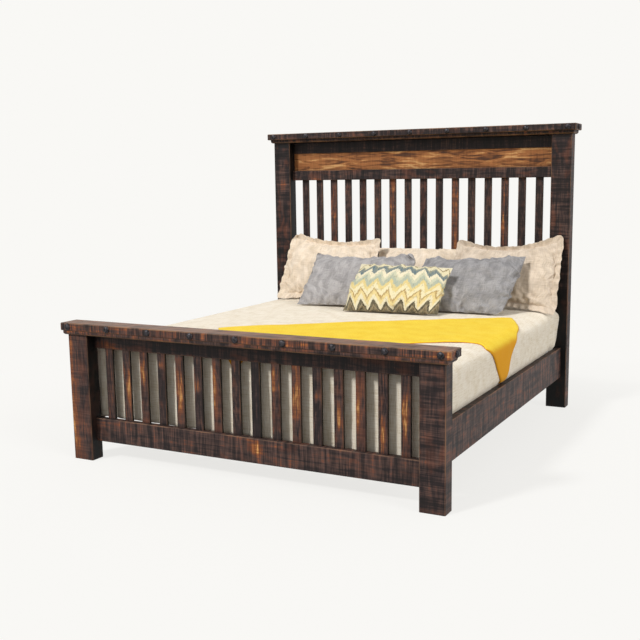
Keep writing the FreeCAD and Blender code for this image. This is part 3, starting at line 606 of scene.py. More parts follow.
def shoulder(x):
    """How far the top has sunk there: towards its long edges, more so where people get in."""
    deep = SUNK_RIGHT if x > 0 else SUNK_LEFT
    return deep * (max(abs(x) - FIRM_HALF, 0.0) / (HALF - FIRM_HALF)) ** 2


def settle(point, low, high, give):
    """Sinks a point of the mattress with its edges: fully at its top, not at its bottom."""
    point.z -= give * shoulder(point.x) * (point.z - low.z) / (high.z - low.z)


print("top of the bed at", round(TOP), "mm, half width", round(HALF), "mm")

# %% Boxes with rounded edges
ROLL_SHARES = (0.0, 0.15, 0.4, 0.7)


def rows_between(low, high, roll, count):
    """Places along an edge: close together in the roll at each end, even in between."""
    ends = [roll * share for share in ROLL_SHARES]
    middle = list(np.linspace(low + roll, high - roll, count))
    return [low + e for e in ends] + middle + [high - e for e in reversed(ends)]


def round_off(point, low, high, roll):
    """Moves a point of a sharp-edged box onto the same box with rounded edges. Returns it and its normal."""
    inner = Vector([min(max(point[i], low[i] + roll), high[i] - roll) for i in range(3)])
    out = (Vector(point) - inner).normalized()
    return inner + out * roll, out


print("rows in a 40 mm roll:", [round(r) for r in rows_between(0, 226, 40, 4)])

# %% Upholstered blocks
DIAMOND = 130.0
ROWS_BETWEEN_ROLLS = 36


def upholstered_block(name, node, roll, quilt, give, material):
    """A block with rounded edges. quilt is how deep its diamonds are. give is 1 if its edges have sunk."""
    low, high = box_mm(node)
    rows = [rows_between(low[i], high[i], roll, ROWS_BETWEEN_ROLLS) for i in range(3)]
    last = len(rows[0]) - 1
    numbers, points, faces = {}, [], []

    def corner(at):
        if at not in numbers:
            numbers[at] = len(points)
            point, out = round_off([row[i] for row, i in zip(rows, at)], low, high, roll)
            if quilt:
                sway = [math.sin(math.pi * (point.x + sign * point.y) / DIAMOND) for sign in (1, -1)]
                point -= out * quilt * (1 - abs(sway[0] * sway[1])) * (abs(out.z) > 0.9)
            settle(point, low, high, give)
            points.append(point)
        return numbers[at]

    for turned in range(3):
        for side in (0, last):
            for square in squares(last, last):
                places = [(u, v, side) for u, v in (square if side else reversed(square))]
                faces.append([corner(place[3 - turned:] + place[:3 - turned]) for place in places])
    places = [points[number] for face in faces for number in face]
    uvs = [((p.x + p.z) * 0.001, (p.y + p.z) * 0.001) for p in places]
    return make_piece(name, points, faces, uvs, material)


print("quilted in diamonds of", DIAMOND, "mm")

# %% Piping
PIPING_CORNER, PIPING_THICKNESS, PIPING_SIDES = 48.0, 7.0, 8
STEPS_ROUND_A_CORNER = 8


def piping(name, node, inset, level, give, material):
    """A cord sewn round an edge, as a closed tube."""
    low, high = box_mm(node)
    path = []
    for start in (0, 90, 180, 270):
        right, back = start in (0, 270), start < 180
        centre = Vector(((high.x - PIPING_CORNER) if right else (low.x + PIPING_CORNER),
                         (high.y - PIPING_CORNER) if back else (low.y + PIPING_CORNER), level))
        for step in range(STEPS_ROUND_A_CORNER + 1):
            angle = math.radians(start + step * 90 / STEPS_ROUND_A_CORNER)
            path.append(centre + (PIPING_CORNER - inset) * Vector((math.cos(angle), math.sin(angle), 0)))
    for place in path:
        settle(place, low, high, give)
    points, total = [], len(path)
    for i, here in enumerate(path):
        ahead = (path[(i + 1) % total] - path[i - 1]).normalized()
        aside = ahead.cross(Vector((0, 0, 1)))
        for side in range(PIPING_SIDES):
            angle = 2 * math.pi * side / PIPING_SIDES
            round_it = aside * math.cos(angle) + Vector((0, 0, math.sin(angle)))
            points.append(here + PIPING_THICKNESS / 2 * round_it)
    grid = squares(PIPING_SIDES, total)
    faces = [[i % total * PIPING_SIDES + side % PIPING_SIDES for side, i in square] for square in grid]
    uvs = [(square[0][1] * 0.02, square[0][0] * 0.002) for square in grid for _ in square]
    return make_piece(name, points, faces, uvs, material)


print("piping", PIPING_THICKNESS, "mm thick")


# %% Box spring and mattress
def bed_block(name, node, roll, quilt, give):
    piece = upholstered_block(name, node, roll, quilt, give, ticking)
    low, high = box_mm(node)
    for word, level in (("lower", low.z + roll * 0.5), ("upper", high.z - roll * 0.5)):
        cord = piping(f"{name}_piping_{word}", node, roll * 0.5 - 4.0, level, give, ticking)
        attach(cord, "bedding")
    stand_in(piece, node, "bedding")


bed_block("upholstered_box_spring", "box_spring", 12.0, 0.0, 0.0)
bed_block("quilted_mattress", "mattress", 40.0, 5.0, 1.0)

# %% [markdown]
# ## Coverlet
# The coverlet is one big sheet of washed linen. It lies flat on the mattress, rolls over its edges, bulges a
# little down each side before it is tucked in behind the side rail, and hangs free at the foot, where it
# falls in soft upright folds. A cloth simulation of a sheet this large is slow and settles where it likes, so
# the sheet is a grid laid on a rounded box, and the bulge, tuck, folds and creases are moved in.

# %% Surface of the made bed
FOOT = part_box("mattress")[0].y * 1000 - 17.4
HEAD = coverlet_high.y
ROLL = 70.0
RAIL_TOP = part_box("side_rail_right")[1].z * 1000
TUCK_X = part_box("side_rail_right")[0].x * 1000 - 2.5
TUCK_Z = RAIL_TOP + 4.0
FAR_BEYOND = 3000.0


def laid_over(x, y, z, lift=0.0):
    """A point of the sharp-edged bed top, moved onto the rounded and bulging surface of the coverlet."""
    low, high = (-HALF, FOOT, -FAR_BEYOND), (HALF, FAR_BEYOND, TOP)
    point, out = round_off((x, y, z), low, high, ROLL)
    point.z -= shoulder(x) * out.z
    if point.z < TOP - ROLL:
        down = min((TOP - ROLL - point.z) / (TOP - ROLL - TUCK_Z), 1.0)
        point.x -= math.copysign((HALF - TUCK_X) * down ** 12, point.x) * out.x ** 2
    return point + out * lift, out


print("the sides tuck in", round(HALF - TUCK_X), "mm behind the rails")


# %% Creases of the coverlet
def coverlet_creases(point, out):
    """How far the cloth stands out from the smooth surface, in millimetres: swells all over, slanting creases
    down the sides, upright folds at the foot, gathers beside the pillows and a rumple before them."""
    x, y, z = point
    high = 1.2 * ripple(x, y, z, 260) + 0.7 * ripple(x + y, y, z, 90)
    side = abs(out.x) * share_of((TOP - 30 - z) / 120) * (z > TUCK_Z + 4)
    slanting = ripple(0.35 * y + 0.5 * z, 0.1 * y, 11.0, 60)
    high += side * (2.0 * ripple(y, z * 0.5, 3.0, 120) + 2.2 * slanting)
    drop = share_of((TOP - 95 - z) / 220)
    fold = math.sin(x / 26.0 + 1.6 * math.sin(x / 150.0)) + 0.5 * math.sin(x / 11.5 + 2.0)
    high += max(-out.y, 0.0) * drop * (4.5 * fold + 2.0 * ripple(x, z, 7.0, 80))
    rear = share_of((y - 740) / 150) * abs(out.x) * share_of((TOP - 10 - z) / 60)
    high += rear * (11.0 * math.sin((y + 0.3 * z) / 27.0) + 5.0 * ripple(y, z * 0.3, 2.0, 60) - 9.0)
    near_pillow = share_of((y - 250) / 300) * max(out.z, 0.0)
    high += near_pillow * 1.5 * ripple(x, y, 5.0, 70)
    return high


top_middle = Vector((0, 0, TOP))
print("crease in the middle", round(coverlet_creases(top_middle, Vector((0, 0, 1))), 2), "mm")

# %% Rows of the coverlet
FOOT_HEM = coverlet_low.z + 1.0
SIDE_HEM = 302.0
FIRST_PILLOW = 700.0


def sheet_rows():
    """Places down the sides, across the bed and along it, close together where the sheet bends or creases."""
    drops = [0.0, 12.0, 26.0, 42.0, 60.0, 80.0] + list(np.arange(98.0, TOP - FOOT_HEM, 16.0))
    drops.append(TOP - FOOT_HEM)
    across = list(np.linspace(-HALF + ROLL, HALF - ROLL, 78))
    edge = [HALF - ROLL + r for r in (16.0, 34.0, 52.0)]
    across = [-e for e in reversed(edge)] + across + edge
    along = [FOOT + r for r in (18.0, 36.0, 52.0)] + list(np.linspace(FOOT + ROLL, FIRST_PILLOW, 66))
    along += list(np.linspace(FIRST_PILLOW, HEAD, 40))[1:]
    return drops, across, along


print("rows down, across and along:", *(len(rows) for rows in sheet_rows()))

# %% Coverlet
COVERLET_THICKNESS = 3.0


def coverlet_sheet():
    drops, across, along = sheet_rows()
    columns = [(-HALF, d) for d in reversed(drops)] + [(x, 0.0) for x in across] + [(HALF, d) for d in drops]
    rows = [(FOOT, d) for d in reversed(drops)] + [(y, 0.0) for y in along]
    numbers, points, faces, uvs = {}, [], [], []

    def corner(i, j):
        (x, side_drop), (y, foot_drop) = columns[i], rows[j]
        key = (round(x, 2), round(y, 2), round(side_drop + foot_drop, 2))
        if key not in numbers:
            numbers[key] = len(points)
            # The hem at the foot hangs a little lower towards the right.
            hem = (19 + 9 * x / HALF) * (foot_drop / (TOP - FOOT_HEM)) ** 4
            point, out = laid_over(x, y, TOP - side_drop - foot_drop - hem)
            points.append(point + out * (coverlet_creases(point, out) - COVERLET_THICKNESS / 2))
        uvs.append(((x + math.copysign(side_drop, x)) * 0.001, (y - foot_drop) * 0.001))
        return numbers[key]

    for square in squares(len(columns) - 1, len(rows) - 1):
        side = max(columns[i][1] for i, _ in square)
        foot = max(rows[j][1] for _, j in square)
        if side <= TOP - SIDE_HEM and not (side and foot):
            faces.append([corner(i, j) for i, j in square])
    return make_piece("linen_coverlet", points, faces, uvs, coverlet_linen)


def thicken(piece, thickness):
    """Gives a sheet its thickness in millimetres, behind its front."""
    made = piece.modifiers.new("cloth_thickness", "SOLIDIFY")
    made.thickness, made.offset = thickness * 0.001, -1.0


coverlet = coverlet_sheet()
thicken(coverlet, COVERLET_THICKNESS)
stand_in(coverlet, "coverlet", "bedding")

# %% [markdown]
# ## Throw
# A cotton throw, folded in half along its length, is thrown across the bed on a slant. One corner hangs over
# the right side to the rail, and the far end slips over the foot of the bed. It follows the coverlet a few
# millimetres above it, so its points are laid over the same rounded bed, a little further out.

# %% Edges of the throw
# The four edges in millimetres on the bed as if its sides were laid flat: across from the middle, then along.
UPPER_EDGE = [(856, 491), (548, 292), (272, 108), (58, -30), (-82, -140), (-201, -240), (-352, -330),
              (-440, -410), (-525, -500)]
LOWER_EDGE = [(1280, -132), (1250, -170), (1186, -236), (1103, -306), (1052, -358), (1012, -386), (960, -378),
              (896, -378), (813, -424), (723, -484), (602, -573), (300, -800), (60, -985), (-90, -1112)]
RIGHT_END = [(856, 491), (899, 402), (940, 306), (985, 214), (1010, 150), (1040, 105), (1107, 20),
             (1180, -50), (1235, -98), (1280, -132)]
FAR_END = [(-525, -500), (-420, -650), (-250, -890), (-90, -1112)]


def along_line(places, count):
    """Even steps along a curve that runs smoothly through the places."""
    places = np.array(places, float)
    knots = np.concatenate([[0], np.cumsum(np.linalg.norm(np.diff(places, axis=0), axis=1))])
    slopes = np.gradient(places, knots, axis=0)
    at = np.linspace(0, knots[-1], count)
    spans = np.clip(np.searchsorted(knots, at, side="right") - 1, 0, len(knots) - 2)
    made = []
    for t, k in zip(at, spans):
        wide = knots[k + 1] - knots[k]
        f = (t - knots[k]) / wide
        h = (2 * f ** 3 - 3 * f ** 2 + 1, (f ** 3 - 2 * f ** 2 + f) * wide, 3 * f ** 2 - 2 * f ** 3,
             (f ** 3 - f ** 2) * wide)
        made.append(h[0] * places[k] + h[1] * slopes[k] + h[2] * places[k + 1] + h[3] * slopes[k + 1])
    return np.array(made)


print("the throw's right end hangs from", RIGHT_END[0], "to", RIGHT_END[-1])

# %% Throw
THROW_WIDTH, THROW_LENGTH, THROW_THICKNESS = 690.0, 1700.0, 4.0
THROW_ROWS, THROW_COLUMNS = 150, 64


def throw_surface(flat, a, b):
    """A point of the throw from its place on the flattened bed and, along and across, on the throw itself."""
    side, foot = max(flat[0] - HALF, 0.0), max(FOOT - flat[1], 0.0)
    edge = min(b, THROW_WIDTH - b, a)
    lift = 6.0 + 2.0 * math.exp(-edge / 16.0) - 4.0 * math.exp(-edge / 3.0)
    z = max(TOP - side - foot, RAIL_TOP + 5.0)
    point, out = laid_over(min(flat[0], HALF), max(flat[1], FOOT), z, lift)
    hang = share_of((TOP - point.z - 30) / 120)
    wave = 3.5 * hang * math.sin(b / 46.0 + 0.9 * math.sin(a / 80.0)) + 1.6 * ripple(a, b, 4.0, 110)
    wave += 2.2 * max(ripple(a * 0.35, b, 6.0, 60), 0.0) * (1 - hang)
    return point + out * wave


def throw_sheet():
    """The sheet between its four edges: what the long edges say plus what the ends say, less the corners."""
    upper, lower = along_line(UPPER_EDGE, THROW_ROWS), along_line(LOWER_EDGE, THROW_ROWS)
    near, far = along_line(RIGHT_END, THROW_COLUMNS), along_line(FAR_END, THROW_COLUMNS)
    points = []
    for i in range(THROW_ROWS):
        s = i / (THROW_ROWS - 1)
        for j in range(THROW_COLUMNS):
            t = j / (THROW_COLUMNS - 1)
            flat = (1 - t) * upper[i] + t * lower[i] + (1 - s) * near[j] + s * far[j]
            flat = flat - (1 - s) * ((1 - t) * near[0] + t * near[-1]) - s * ((1 - t) * far[0] + t * far[-1])
            points.append(throw_surface(flat, s * THROW_LENGTH, t * THROW_WIDTH))
    grid = squares(THROW_ROWS - 1, THROW_COLUMNS - 1)
    faces = [[p * THROW_COLUMNS + q for p, q in square] for square in grid]
    step = (THROW_LENGTH / (THROW_ROWS - 1) * 0.001, THROW_WIDTH / (THROW_COLUMNS - 1) * 0.001)
    uvs = [(p * step[0], q * step[1]) for square in grid for p, q in square]
    return make_piece("yellow_throw", points, faces, uvs, yellow_cotton)


throw = throw_sheet()
thicken(throw, THROW_THICKNESS)
stand_in(throw, "throw", "bedding")

# %% [markdown]
# ## Pillows
# A pillow is two layers of cloth, sewn all round and stuffed. Sewing the blank and blowing it up with a cloth
# simulation gives what no plain shape has: sides that pull in between pointed corners, and creases that run
# from the seam towards the middle. Each is then set to its size, its corners are moved to where they sag or
# are pinched, and it is leaned back on what stands behind it.

# %% Two layers of cloth
RISE, TUCKED_CORNER = 10.0, 6.0
BACK_OF_CLOTH = 1000.0


def sewn_blank(name, width, height, step, material):
    """Two flat layers with a shared rim. x is across, z is up, the front looks towards -y. Returns the piece,
    the points of its rim and how many squares it has across and up."""
    nx, nz = round(width / step), round(height / step)
    numbers, points, faces, uvs = {}, [], [], []

    def corner(i, j, side):
        rim = i in (0, nx) or j in (0, nz)
        key = (i, j, 0 if rim else side)
        if key not in numbers:
            numbers[key] = len(points)
            u, v = i / nx, j / nz
            rise = RISE * math.sin(math.pi * u) * math.sin(math.pi * v)
            tuck = TUCKED_CORNER * (max(abs(2 * u - 1) - 0.9, 0) * max(abs(2 * v - 1) - 0.9, 0)) * 100
            points.append(((u - 0.5) * (width - tuck), side * rise, (v - 0.5) * (height - tuck)))
        return numbers[key]

    for side in (-1, 1):
        for square in squares(nx, nz):
            for i, j in square[::-side]:
                flat_x = i / nx * width + (side > 0) * BACK_OF_CLOTH
                uvs.append((flat_x * 0.001, j / nz * height * 0.001))
            faces.append([corner(i, j, side) for i, j in square[::-side]])
    piece = make_piece(name, points, faces, uvs, material)
    rim = [numbers[i, 0, 0] for i in range(nx)] + [numbers[nx, j, 0] for j in range(nz)]
    rim += [numbers[i, nz, 0] for i in range(nx, 0, -1)] + [numbers[0, j, 0] for j in range(nz, 0, -1)]
    return piece, rim, (nx, nz)


print("a blank starts", 2 * RISE, "mm thick")

# %% Filling
SIMULATION_FRAMES = 20
FILLING = {
    "quality": 6, "mass": 0.2, "tension_stiffness": 12.0, "compression_stiffness": 12.0,
    "shear_stiffness": 4.8, "bending_stiffness": 0.3, "air_damping": 3.0, "use_pressure": True,
    "uniform_pressure_force": 5.0,
}


def fill_with_air(piece):
    """Blows the blank up with a cloth simulation, without gravity, and keeps the result as its mesh."""
    cloth = piece.modifiers.new("filling", "CLOTH")
    for key, value in FILLING.items():
        setattr(cloth.settings, key, value)
    cloth.settings.effector_weights.gravity = 0.0
    cloth.point_cache.frame_start, cloth.point_cache.frame_end = 1, SIMULATION_FRAMES
    scene = bpy.context.scene
    for number in range(1, SIMULATION_FRAMES + 1):
        scene.frame_set(number)
    ready = piece.evaluated_get(bpy.context.evaluated_depsgraph_get())
    points = [v.co.copy() for v in ready.data.vertices]
    piece.modifiers.remove(cloth)
    for vertex, point in zip(piece.data.vertices, points):
        vertex.co = point
    scene.frame_set(1)


print("filled with", FILLING["uniform_pressure_force"], "of pressure in", SIMULATION_FRAMES, "frames")


# %% Size and seams
def drawn_in(half, share, pull):
    """Half the size of a pillow at that share of the way to its corner: less by pull in the middle."""
    return half - pull * (1 - np.clip(share, -1, 1) ** 2)


def set_size(piece, rim, counts, width, height, thickness, pull):
    """Gives the filled pillow its size. Its sides keep the curve of a seam drawn in by pull at its middle."""
    co = np.array([v.co for v in piece.data.vertices]) * 1000
    low, high = co.min(0), co.max(0)
    co = (co - (low + high) / 2) * np.array([width, thickness, height]) / (high - low)
    nx, nz = counts
    ring = co[rim + rim[:1]]
    bottom, right = ring[:nx + 1], ring[nx:nx + nz + 1]
    top, left = ring[nx + nz:2 * nx + nz + 1], ring[2 * nx + nz:]
    x, z = co[:, 0].copy(), co[:, 2].copy()
    want_x = drawn_in(width / 2, z / (height / 2), pull)
    want_z = drawn_in(height / 2, x / (width / 2), pull)
    at_right = np.interp(z, right[:, 2], right[:, 0])
    at_left = np.interp(z, left[::-1, 2], -left[::-1, 0])
    at_top = np.interp(x, top[::-1, 0], top[::-1, 2])
    at_bottom = np.interp(x, bottom[:, 0], -bottom[:, 2])
    co[:, 0] = x * want_x / np.where(x > 0, at_right, at_left)
    co[:, 2] = z * want_z / np.where(z > 0, at_top, at_bottom)
    piece.data.vertices.foreach_set("co", (co * 0.001).ravel())
    piece.data.update()


print("300 mm with a pull of 10 mm is", drawn_in(300.0, 0.0, 10.0), "mm in the middle")

# %% Creases
CORNER_CREASE, CORNER_REACH = 15.0, 160.0
SMALL_CREASE = 5.0
SEAM_PINCH, SEAM_REACH = 11.0, 60.0


def crumple(piece, width, height, amount, seed):
    """Creases that run in from the corners, and small ones everywhere, on both sides of the pillow."""
    for vertex in piece.data.vertices:
        x, y, z = vertex.co * 1000
        if abs(y) < 1.0:
            continue
        dx, dz = width / 2 - abs(x), height / 2 - abs(z)
        reach, angle = math.hypot(dx, dz), math.atan2(dz, dx)
        quarter = seed + 3 * (x > 0) + 7 * (z > 0)
        radial = ripple(angle * 3.4, reach / 150, quarter, 1.0)
        radial += 0.6 * ripple(angle * 8, reach / 80, quarter, 1.0)
        moved = CORNER_CREASE * math.exp(-reach / CORNER_REACH) * radial * min(reach / 40, 1.0)
        valley = (1 - abs(ripple(x * 0.7 + z * 0.5, z, seed + 4, 70))) ** 6
        moved += SMALL_CREASE * (ripple(x, z, seed, 85) - valley)
        away, run = (dx, z) if dx < dz else (dz, x)
        phase = run / 34.0 + 3.0 * ripple(run, seed, 0, 110) + 1.5 * ripple(away, run, 0, 60)
        pinch = 1 - abs(math.sin(phase))
        moved -= SEAM_PINCH * math.exp(-away / SEAM_REACH) * pinch ** 2
        from_seam = min(min(dx, dz) / 25, 1.0)
        vertex.co.y += moved * amount * from_seam * 0.001 * math.copysign(1.0, y)
    piece.data.update()


print("creases up to", CORNER_CREASE, "mm deep at a corner")

# %% [markdown]
# ## Flanges
# The two outer shams have a flat flange, a doubled border of cloth outside the seam, which ripples because it
# is cut longer than the seam that holds it, and tips forward where nothing stiffens it. A ribbon of quads
# round the seam gives the ripple its own waves, which a blown-up blank would smooth away.

# %% Flange
TIP_TOP, TIP_SIDES = 0.55, 0.2
# Share of the depth, and how far the front layer lies before the middle, in millimetres.
FRONT_LAYER = [(0.0, 2.2), (0.33, 1.8), (0.66, 1.6), (0.96, 1.4)]
UNDER_SEAM = 6.0


def flange(piece, rim, depth, material):
    """A border of doubled cloth outside the seam, as a second shell of the same piece."""
    seam = [piece.data.vertices[i].co * 1000 for i in rim]
    total = len(seam)
    front = [(-UNDER_SEAM, 1.5)] + [(depth * share, side) for share, side in FRONT_LAYER]
    rows = front + [(depth, 0.0)] + [(reach, -side) for reach, side in reversed(front)]
    half_x = max(abs(p.x) for p in seam)
    half_z = max(abs(p.z) for p in seam)
    points, run = [], 0.0
    for i, here in enumerate(seam):
        run += (here - seam[i - 1]).length
        u, v = here.x / half_x, here.z / half_z
        out = Vector((math.copysign(abs(u) ** 9, u), 0, math.copysign(abs(v) ** 9, v)))
        out = out / max(abs(out.x), abs(out.z))
        tip = TIP_SIDES + (TIP_TOP - TIP_SIDES) * max(v, 0.0) ** 6 * (1 - 0.6 * abs(u) ** 8)
        for reach, side in rows:
            share = max(reach, 0.0) / depth
            wave = 5.5 * share ** 0.6 * math.sin(run / 6.4 + 1.5 * math.sin(run / 50.0))
            wave += share * 12.0 * ripple(run, 0, 0, 60)
            drawn = 1 - 0.14 * share * (1 + 1.6 * ripple(run, 5, 0, 45))
            forward = max(reach, 0.0) * math.sin(tip)
            across = reach * (math.cos(tip) if reach > 0 else 1.0)
            points.append(here + out * across * drawn + Vector((0, -side + wave - forward, 0)))
    deep = len(rows)
    grid = squares(total, deep)
    faces = [[i % total * deep + row % deep for i, row in square] for square in grid]
    uvs = [(i * 0.012 + 2.0, row * 0.01) for square in grid for i, row in square]
    border = make_piece(piece.name + "_border", points, faces, uvs, material)
    with bpy.context.temp_override(active_object=piece, selected_editable_objects=[piece, border]):
        bpy.ops.object.join()


print("a flange is drawn with", 2 * len(FRONT_LAYER) + 3, "points across")

# %% [markdown]
# ## Leaning the pillows
# A filled pillow stands upright at the origin. Its corners are folded over or moved in its own plane, it is
# leaned back about its middle, and whatever would sink into the bed is pressed flat just above it.

# %% Folded corners
FOLD_RADIUS = 14.0
SLANT = 0.7071  # of a line at 45 degrees: as much across as up


def folded(point, corner, depth, angle, width, height):
    """Bends what lies beyond a slanting line, depth millimetres from a corner, towards the viewer."""
    x, y, z = point
    nx, nz = corner[0] * SLANT, corner[1] * SLANT
    beyond = x * nx + z * nz - (width + height) / 2 * SLANT + depth
    if beyond <= 0:
        return point
    turned = min(beyond / FOLD_RADIUS, angle)
    rest = beyond - FOLD_RADIUS * turned
    along = FOLD_RADIUS * math.sin(turned) + rest * math.cos(turned) + y * math.sin(turned)
    y = -FOLD_RADIUS * (1 - math.cos(turned)) - rest * math.sin(turned) + y * math.cos(turned)
    return Vector((x + (along - beyond) * nx, y, z + (along - beyond) * nz))


print("corners fold over", FOLD_RADIUS, "mm")

# %% Pillow on the bed
PRESSED = 14.0


def place_pillow(piece, node, lean, turn, corners, dips, width, height, folds):
    """Moves the corners in the pillow's own plane, leans it back and sets it on the coverlet."""
    low, high = box_mm(node)
    lay = Matrix.Translation((low + high) / 2) @ Matrix.Rotation(math.radians(turn), 4, "Z")
    lay = lay @ Matrix.Rotation(math.radians(-lean), 4, "X")
    for vertex in piece.data.vertices:
        point = vertex.co * 1000
        p, q = point.x / (width / 2), point.z / (height / 2)
        for corner, (depth, angle) in folds.items():
            point = folded(point, corner, depth, angle, width, height)
        for (side, level), (right, up, back) in corners.items():
            weight = (1 + side * min(max(p, -1.2), 1.2)) / 2 * (1 + level * min(max(q, -1.2), 1.2)) / 2
            point = point + Vector((right, back, up)) * max(weight, 0.0) ** 2
        top, bottom = dips
        point.z += max(1 - p * p, 0) * (bottom * max(-q, 0) ** 2 - top * max(q, 0) ** 2)
        point = lay @ point
        if abs(point.x) < HALF - ROLL:
            floor = TOP + 1.0 - shoulder(point.x)
            if point.z < floor + PRESSED:
                point.z = floor + PRESSED * math.exp(min((point.z - floor - PRESSED) / PRESSED, 0.0))
        vertex.co = point * 0.001
    piece.data.update()


def pillow(name, node, size, material, slot, lean, corners, turn=0.0, border=0.0, dips=(0.0, 0.0), fill=0.6,
           step=11.0, pull=10.0, creases=1.0, folds=None):
    """size is the finished width, height and thickness, border the depth of its flange, dips how far its top
    and bottom edges sag in their middle, and step the size of its squares, all in millimetres."""
    width, height, thickness = size
    seam_width, seam_height = width - 2 * border, height - 2 * border
    # The blank is cut larger than the pillow, which draws in when it is filled.
    blank = seam_width * 1.04, seam_height * 1.06
    piece, rim, counts = sewn_blank(name, *blank, step, material)
    fill_with_air(piece)
    set_size(piece, rim, counts, seam_width, seam_height, thickness, pull)
    crumple(piece, seam_width, seam_height, creases, len(name))
    if border:
        flange(piece, rim, border, material)
    place_pillow(piece, node, lean, turn, corners, dips, width, height, folds or {})
    smooth = piece.modifiers.new("smooth", "SUBSURF")
    smooth.levels = smooth.render_levels = 1
    stand_in(piece, node, "pillows")


print("cloth within", PRESSED, "mm of the bed is pressed flat")

# %% [markdown]
# ## The six pillows in their places
# Corner moves are in millimetres in each pillow's own plane: right, up, and away from the viewer. A fold is
# given by its depth from the corner's tip and its angle. The outer shams have pinched upper corners that
# stand up like ears, and soft lower corners that sag.

# %% Three beige pillows
LOWER_LEFT, LOWER_RIGHT, UPPER_LEFT, UPPER_RIGHT = (-1, -1), (1, -1), (-1, 1), (1, 1)
SHAM = {"size": (740, 488, 126), "slot": "beige_linen", "lean": 27.0, "border": 46.0, "creases": 1.4,
        "step": 9.5}
pillow("linen_sham_left", "sham_left", material=beige_linen, dips=(56.0, 0.0),
       corners={UPPER_LEFT: (16, 30, 0), UPPER_RIGHT: (-16, -18, 0), LOWER_LEFT: (7, -21, 0),
                LOWER_RIGHT: (0, -8, 0)},
       folds={UPPER_LEFT: (64.0, 2.4), UPPER_RIGHT: (26.0, 1.6)}, **SHAM)
pillow("linen_sham_right", "sham_right", material=darker_oatmeal_linen, dips=(76.0, 14.0),
       corners={UPPER_LEFT: (14, -8, 0), UPPER_RIGHT: (-26, 44, 0), LOWER_RIGHT: (-18, -36, 6)},
       folds={UPPER_LEFT: (36.0, 2.0), UPPER_RIGHT: (42.0, 2.0)}, **SHAM)
pillow("linen_pillow_middle", "sham_middle", (600, 396, 92), beige_linen, "beige_linen", 26.0,
       {UPPER_LEFT: (0, -14, 0), UPPER_RIGHT: (0, -12, 0)}, dips=(2.0, 0.0), step=14.0, pull=6.0)

# %% Two grey pillows and the zigzag one
pillow("grey_pillow_large_left", "grey_pillow_left", (730, 445, 146), grey_linen_painted_lit, "grey_linen", 45.0,
       {UPPER_LEFT: (2, -6, 0), UPPER_RIGHT: (34, 26, 0), LOWER_LEFT: (10, -14, 0)}, dips=(36.0, -8.0),
       pull=20.0, creases=1.6, folds={UPPER_RIGHT: (80.0, 2.3), UPPER_LEFT: (44.0, 2.0)})
pillow("grey_pillow_large_right", "grey_pillow_right", (660, 445, 146), grey_linen, "grey_linen", 45.0,
       {UPPER_LEFT: (12, -26, 0), UPPER_RIGHT: (2, 14, 0), LOWER_RIGHT: (-57, -2, 0)}, dips=(16.0, -6.0),
       creases=2.0, folds={LOWER_RIGHT: (34.0, 0.9)})
pillow("zigzag_lumbar_pillow", "lumbar_pillow", (ZIGZAG_WIDTH, ZIGZAG_HEIGHT, 116), zigzag, "zigzag_cotton",
       38.0, {UPPER_LEFT: (27, -6, 0), UPPER_RIGHT: (30, -18, 0), LOWER_LEFT: (-12, -9, 0),
              LOWER_RIGHT: (3, 2, 0)},
       turn=2.0, dips=(4.0, 0.0), fill=0.8, pull=8.0, creases=0.8)

# %% [markdown]
# ## Floor, sky and lamps
# The bed stands on a plain pale floor. The sky is pale all round, and where the camera or a reflection sees
# it, it is one even colour. A broad, soft sun from the upper left draws the shadows of the spindles on the
# cloth behind them, and the sky fills in the rest, so that a colour shows about as it is written.

# %% Backdrop
BACKDROP = "#f9f8f5"
FLOOR_REACH = 40000.0


def seen_directly(tree):
    """1 for the camera's rays and for rays through or off a glossy surface, 0 for light that is scattered."""
    rays = add(tree, "LightPath").node.outputs
    seen = add(tree, "Math", (rays["Is Camera Ray"], rays["Is Glossy Ray"]), operation="MAXIMUM")
    return add(tree, "Math", (seen, rays["Is Transmission Ray"]), operation="MAXIMUM")


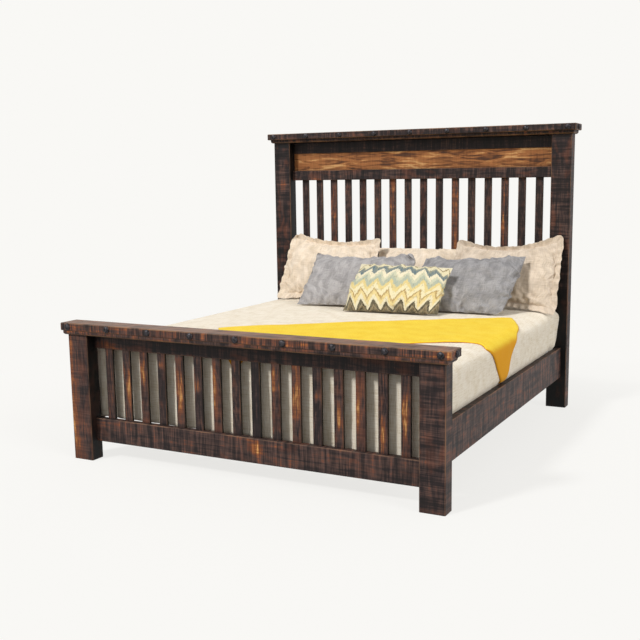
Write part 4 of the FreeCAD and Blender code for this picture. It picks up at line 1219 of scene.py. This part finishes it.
def studio_floor():
    """A floor that takes the shadow of the bed and fades into the backdrop 1.2 to 3.2 m from its middle."""
    material, tree, shader = new_material("painted_studio_floor", Roughness=0.9, Specular_IOR_Level=0.0)
    seen = seen_directly(tree)
    plug(tree, shader, {"Base Color": add(tree, "Mix", {0: seen, 6: "#8b8985", 7: "#f2f1ee"}, COLOUR)})
    place = add(tree, "TexCoord", out="Object")
    distance = add(tree, "VectorMath", (place,), out="Value", operation="LENGTH")
    glow = add(tree, "Emission", {"Color": BACKDROP, "Strength": 1.0})
    far = add(tree, "MapRange", (distance, 1.2, 3.2, 0.82, 1.0))
    share = add(tree, "Math", (far, seen), operation="MULTIPLY")
    mixed = add(tree, "MixShader", (share, shader.outputs[0], glow))
    plug(tree, tree.nodes["Material Output"], {"Surface": mixed})
    corners = [(x * FLOOR_REACH, y * FLOOR_REACH, 0) for x, y in ((-1, -1), (1, -1), (1, 1), (-1, 1))]
    floor = make_piece("studio_floor", corners, [(0, 1, 2, 3)], None, material)


studio_floor()
print("floor ready")


# %% Sky and lamps
def pale_sky(strength):
    world = bpy.data.worlds.new("pale_sky")
    bpy.context.scene.world = world
    world.use_nodes = True
    tree = world.node_tree
    tree.nodes.clear()
    light = add(tree, "Background", {"Color": "#ffffff", "Strength": strength})
    shown = add(tree, "Background", {"Color": BACKDROP, "Strength": 1.0})
    mixed = add(tree, "MixShader", (seen_directly(tree), light, shown))
    plug(tree, tree.nodes.new("ShaderNodeOutputWorld"), {"Surface": mixed})


def soft_sun(name, towards, strength, angle):
    lamp = bpy.data.lights.new(name, "SUN")
    lamp.energy, lamp.angle = strength, math.radians(angle)
    holder = bpy.data.objects.new(name, lamp)
    holder.rotation_euler = Vector(towards).to_track_quat("-Z", "Y").to_euler()
    bpy.context.scene.collection.objects.link(holder)


pale_sky(0.42)
soft_sun("sun_upper_left", (0.4, 0.82, -0.85), 2.25, 8.0)
soft_sun("light_from_right", (-1.0, 0.25, -0.4), 1.4, 30.0)
bpy.context.scene.view_settings.view_transform = "Standard"
print("lamps:", *(lamp.name for lamp in bpy.data.lights))

# %% [markdown]
# ## Camera
# The photograph was taken from the right of the foot, level with the headboard's middle rail and looking
# about 9 degrees down. The place and direction come from matching the corners of the frame.

# %% Camera
camera_data = bpy.data.cameras.new("camera")
camera_data.sensor_width = 36.0
camera_data.lens = 53.24
camera_data.shift_x, camera_data.shift_y = -0.01655, 0.01616
camera = bpy.data.objects.new("camera", camera_data)
right = Vector((0.88932, 0.45710, -0.01316))
up = Vector((-0.06068, 0.14648, 0.98735))
back = Vector((0.45324, -0.87727, 0.15800))
turned = Matrix((right, up, back)).transposed().to_4x4()
camera.matrix_world = Matrix.Translation((2.4189, -4.8382, 1.4540)) @ turned
bpy.context.scene.collection.objects.link(camera)
bpy.context.scene.camera = camera
print("camera at", [round(c, 3) for c in camera.location])
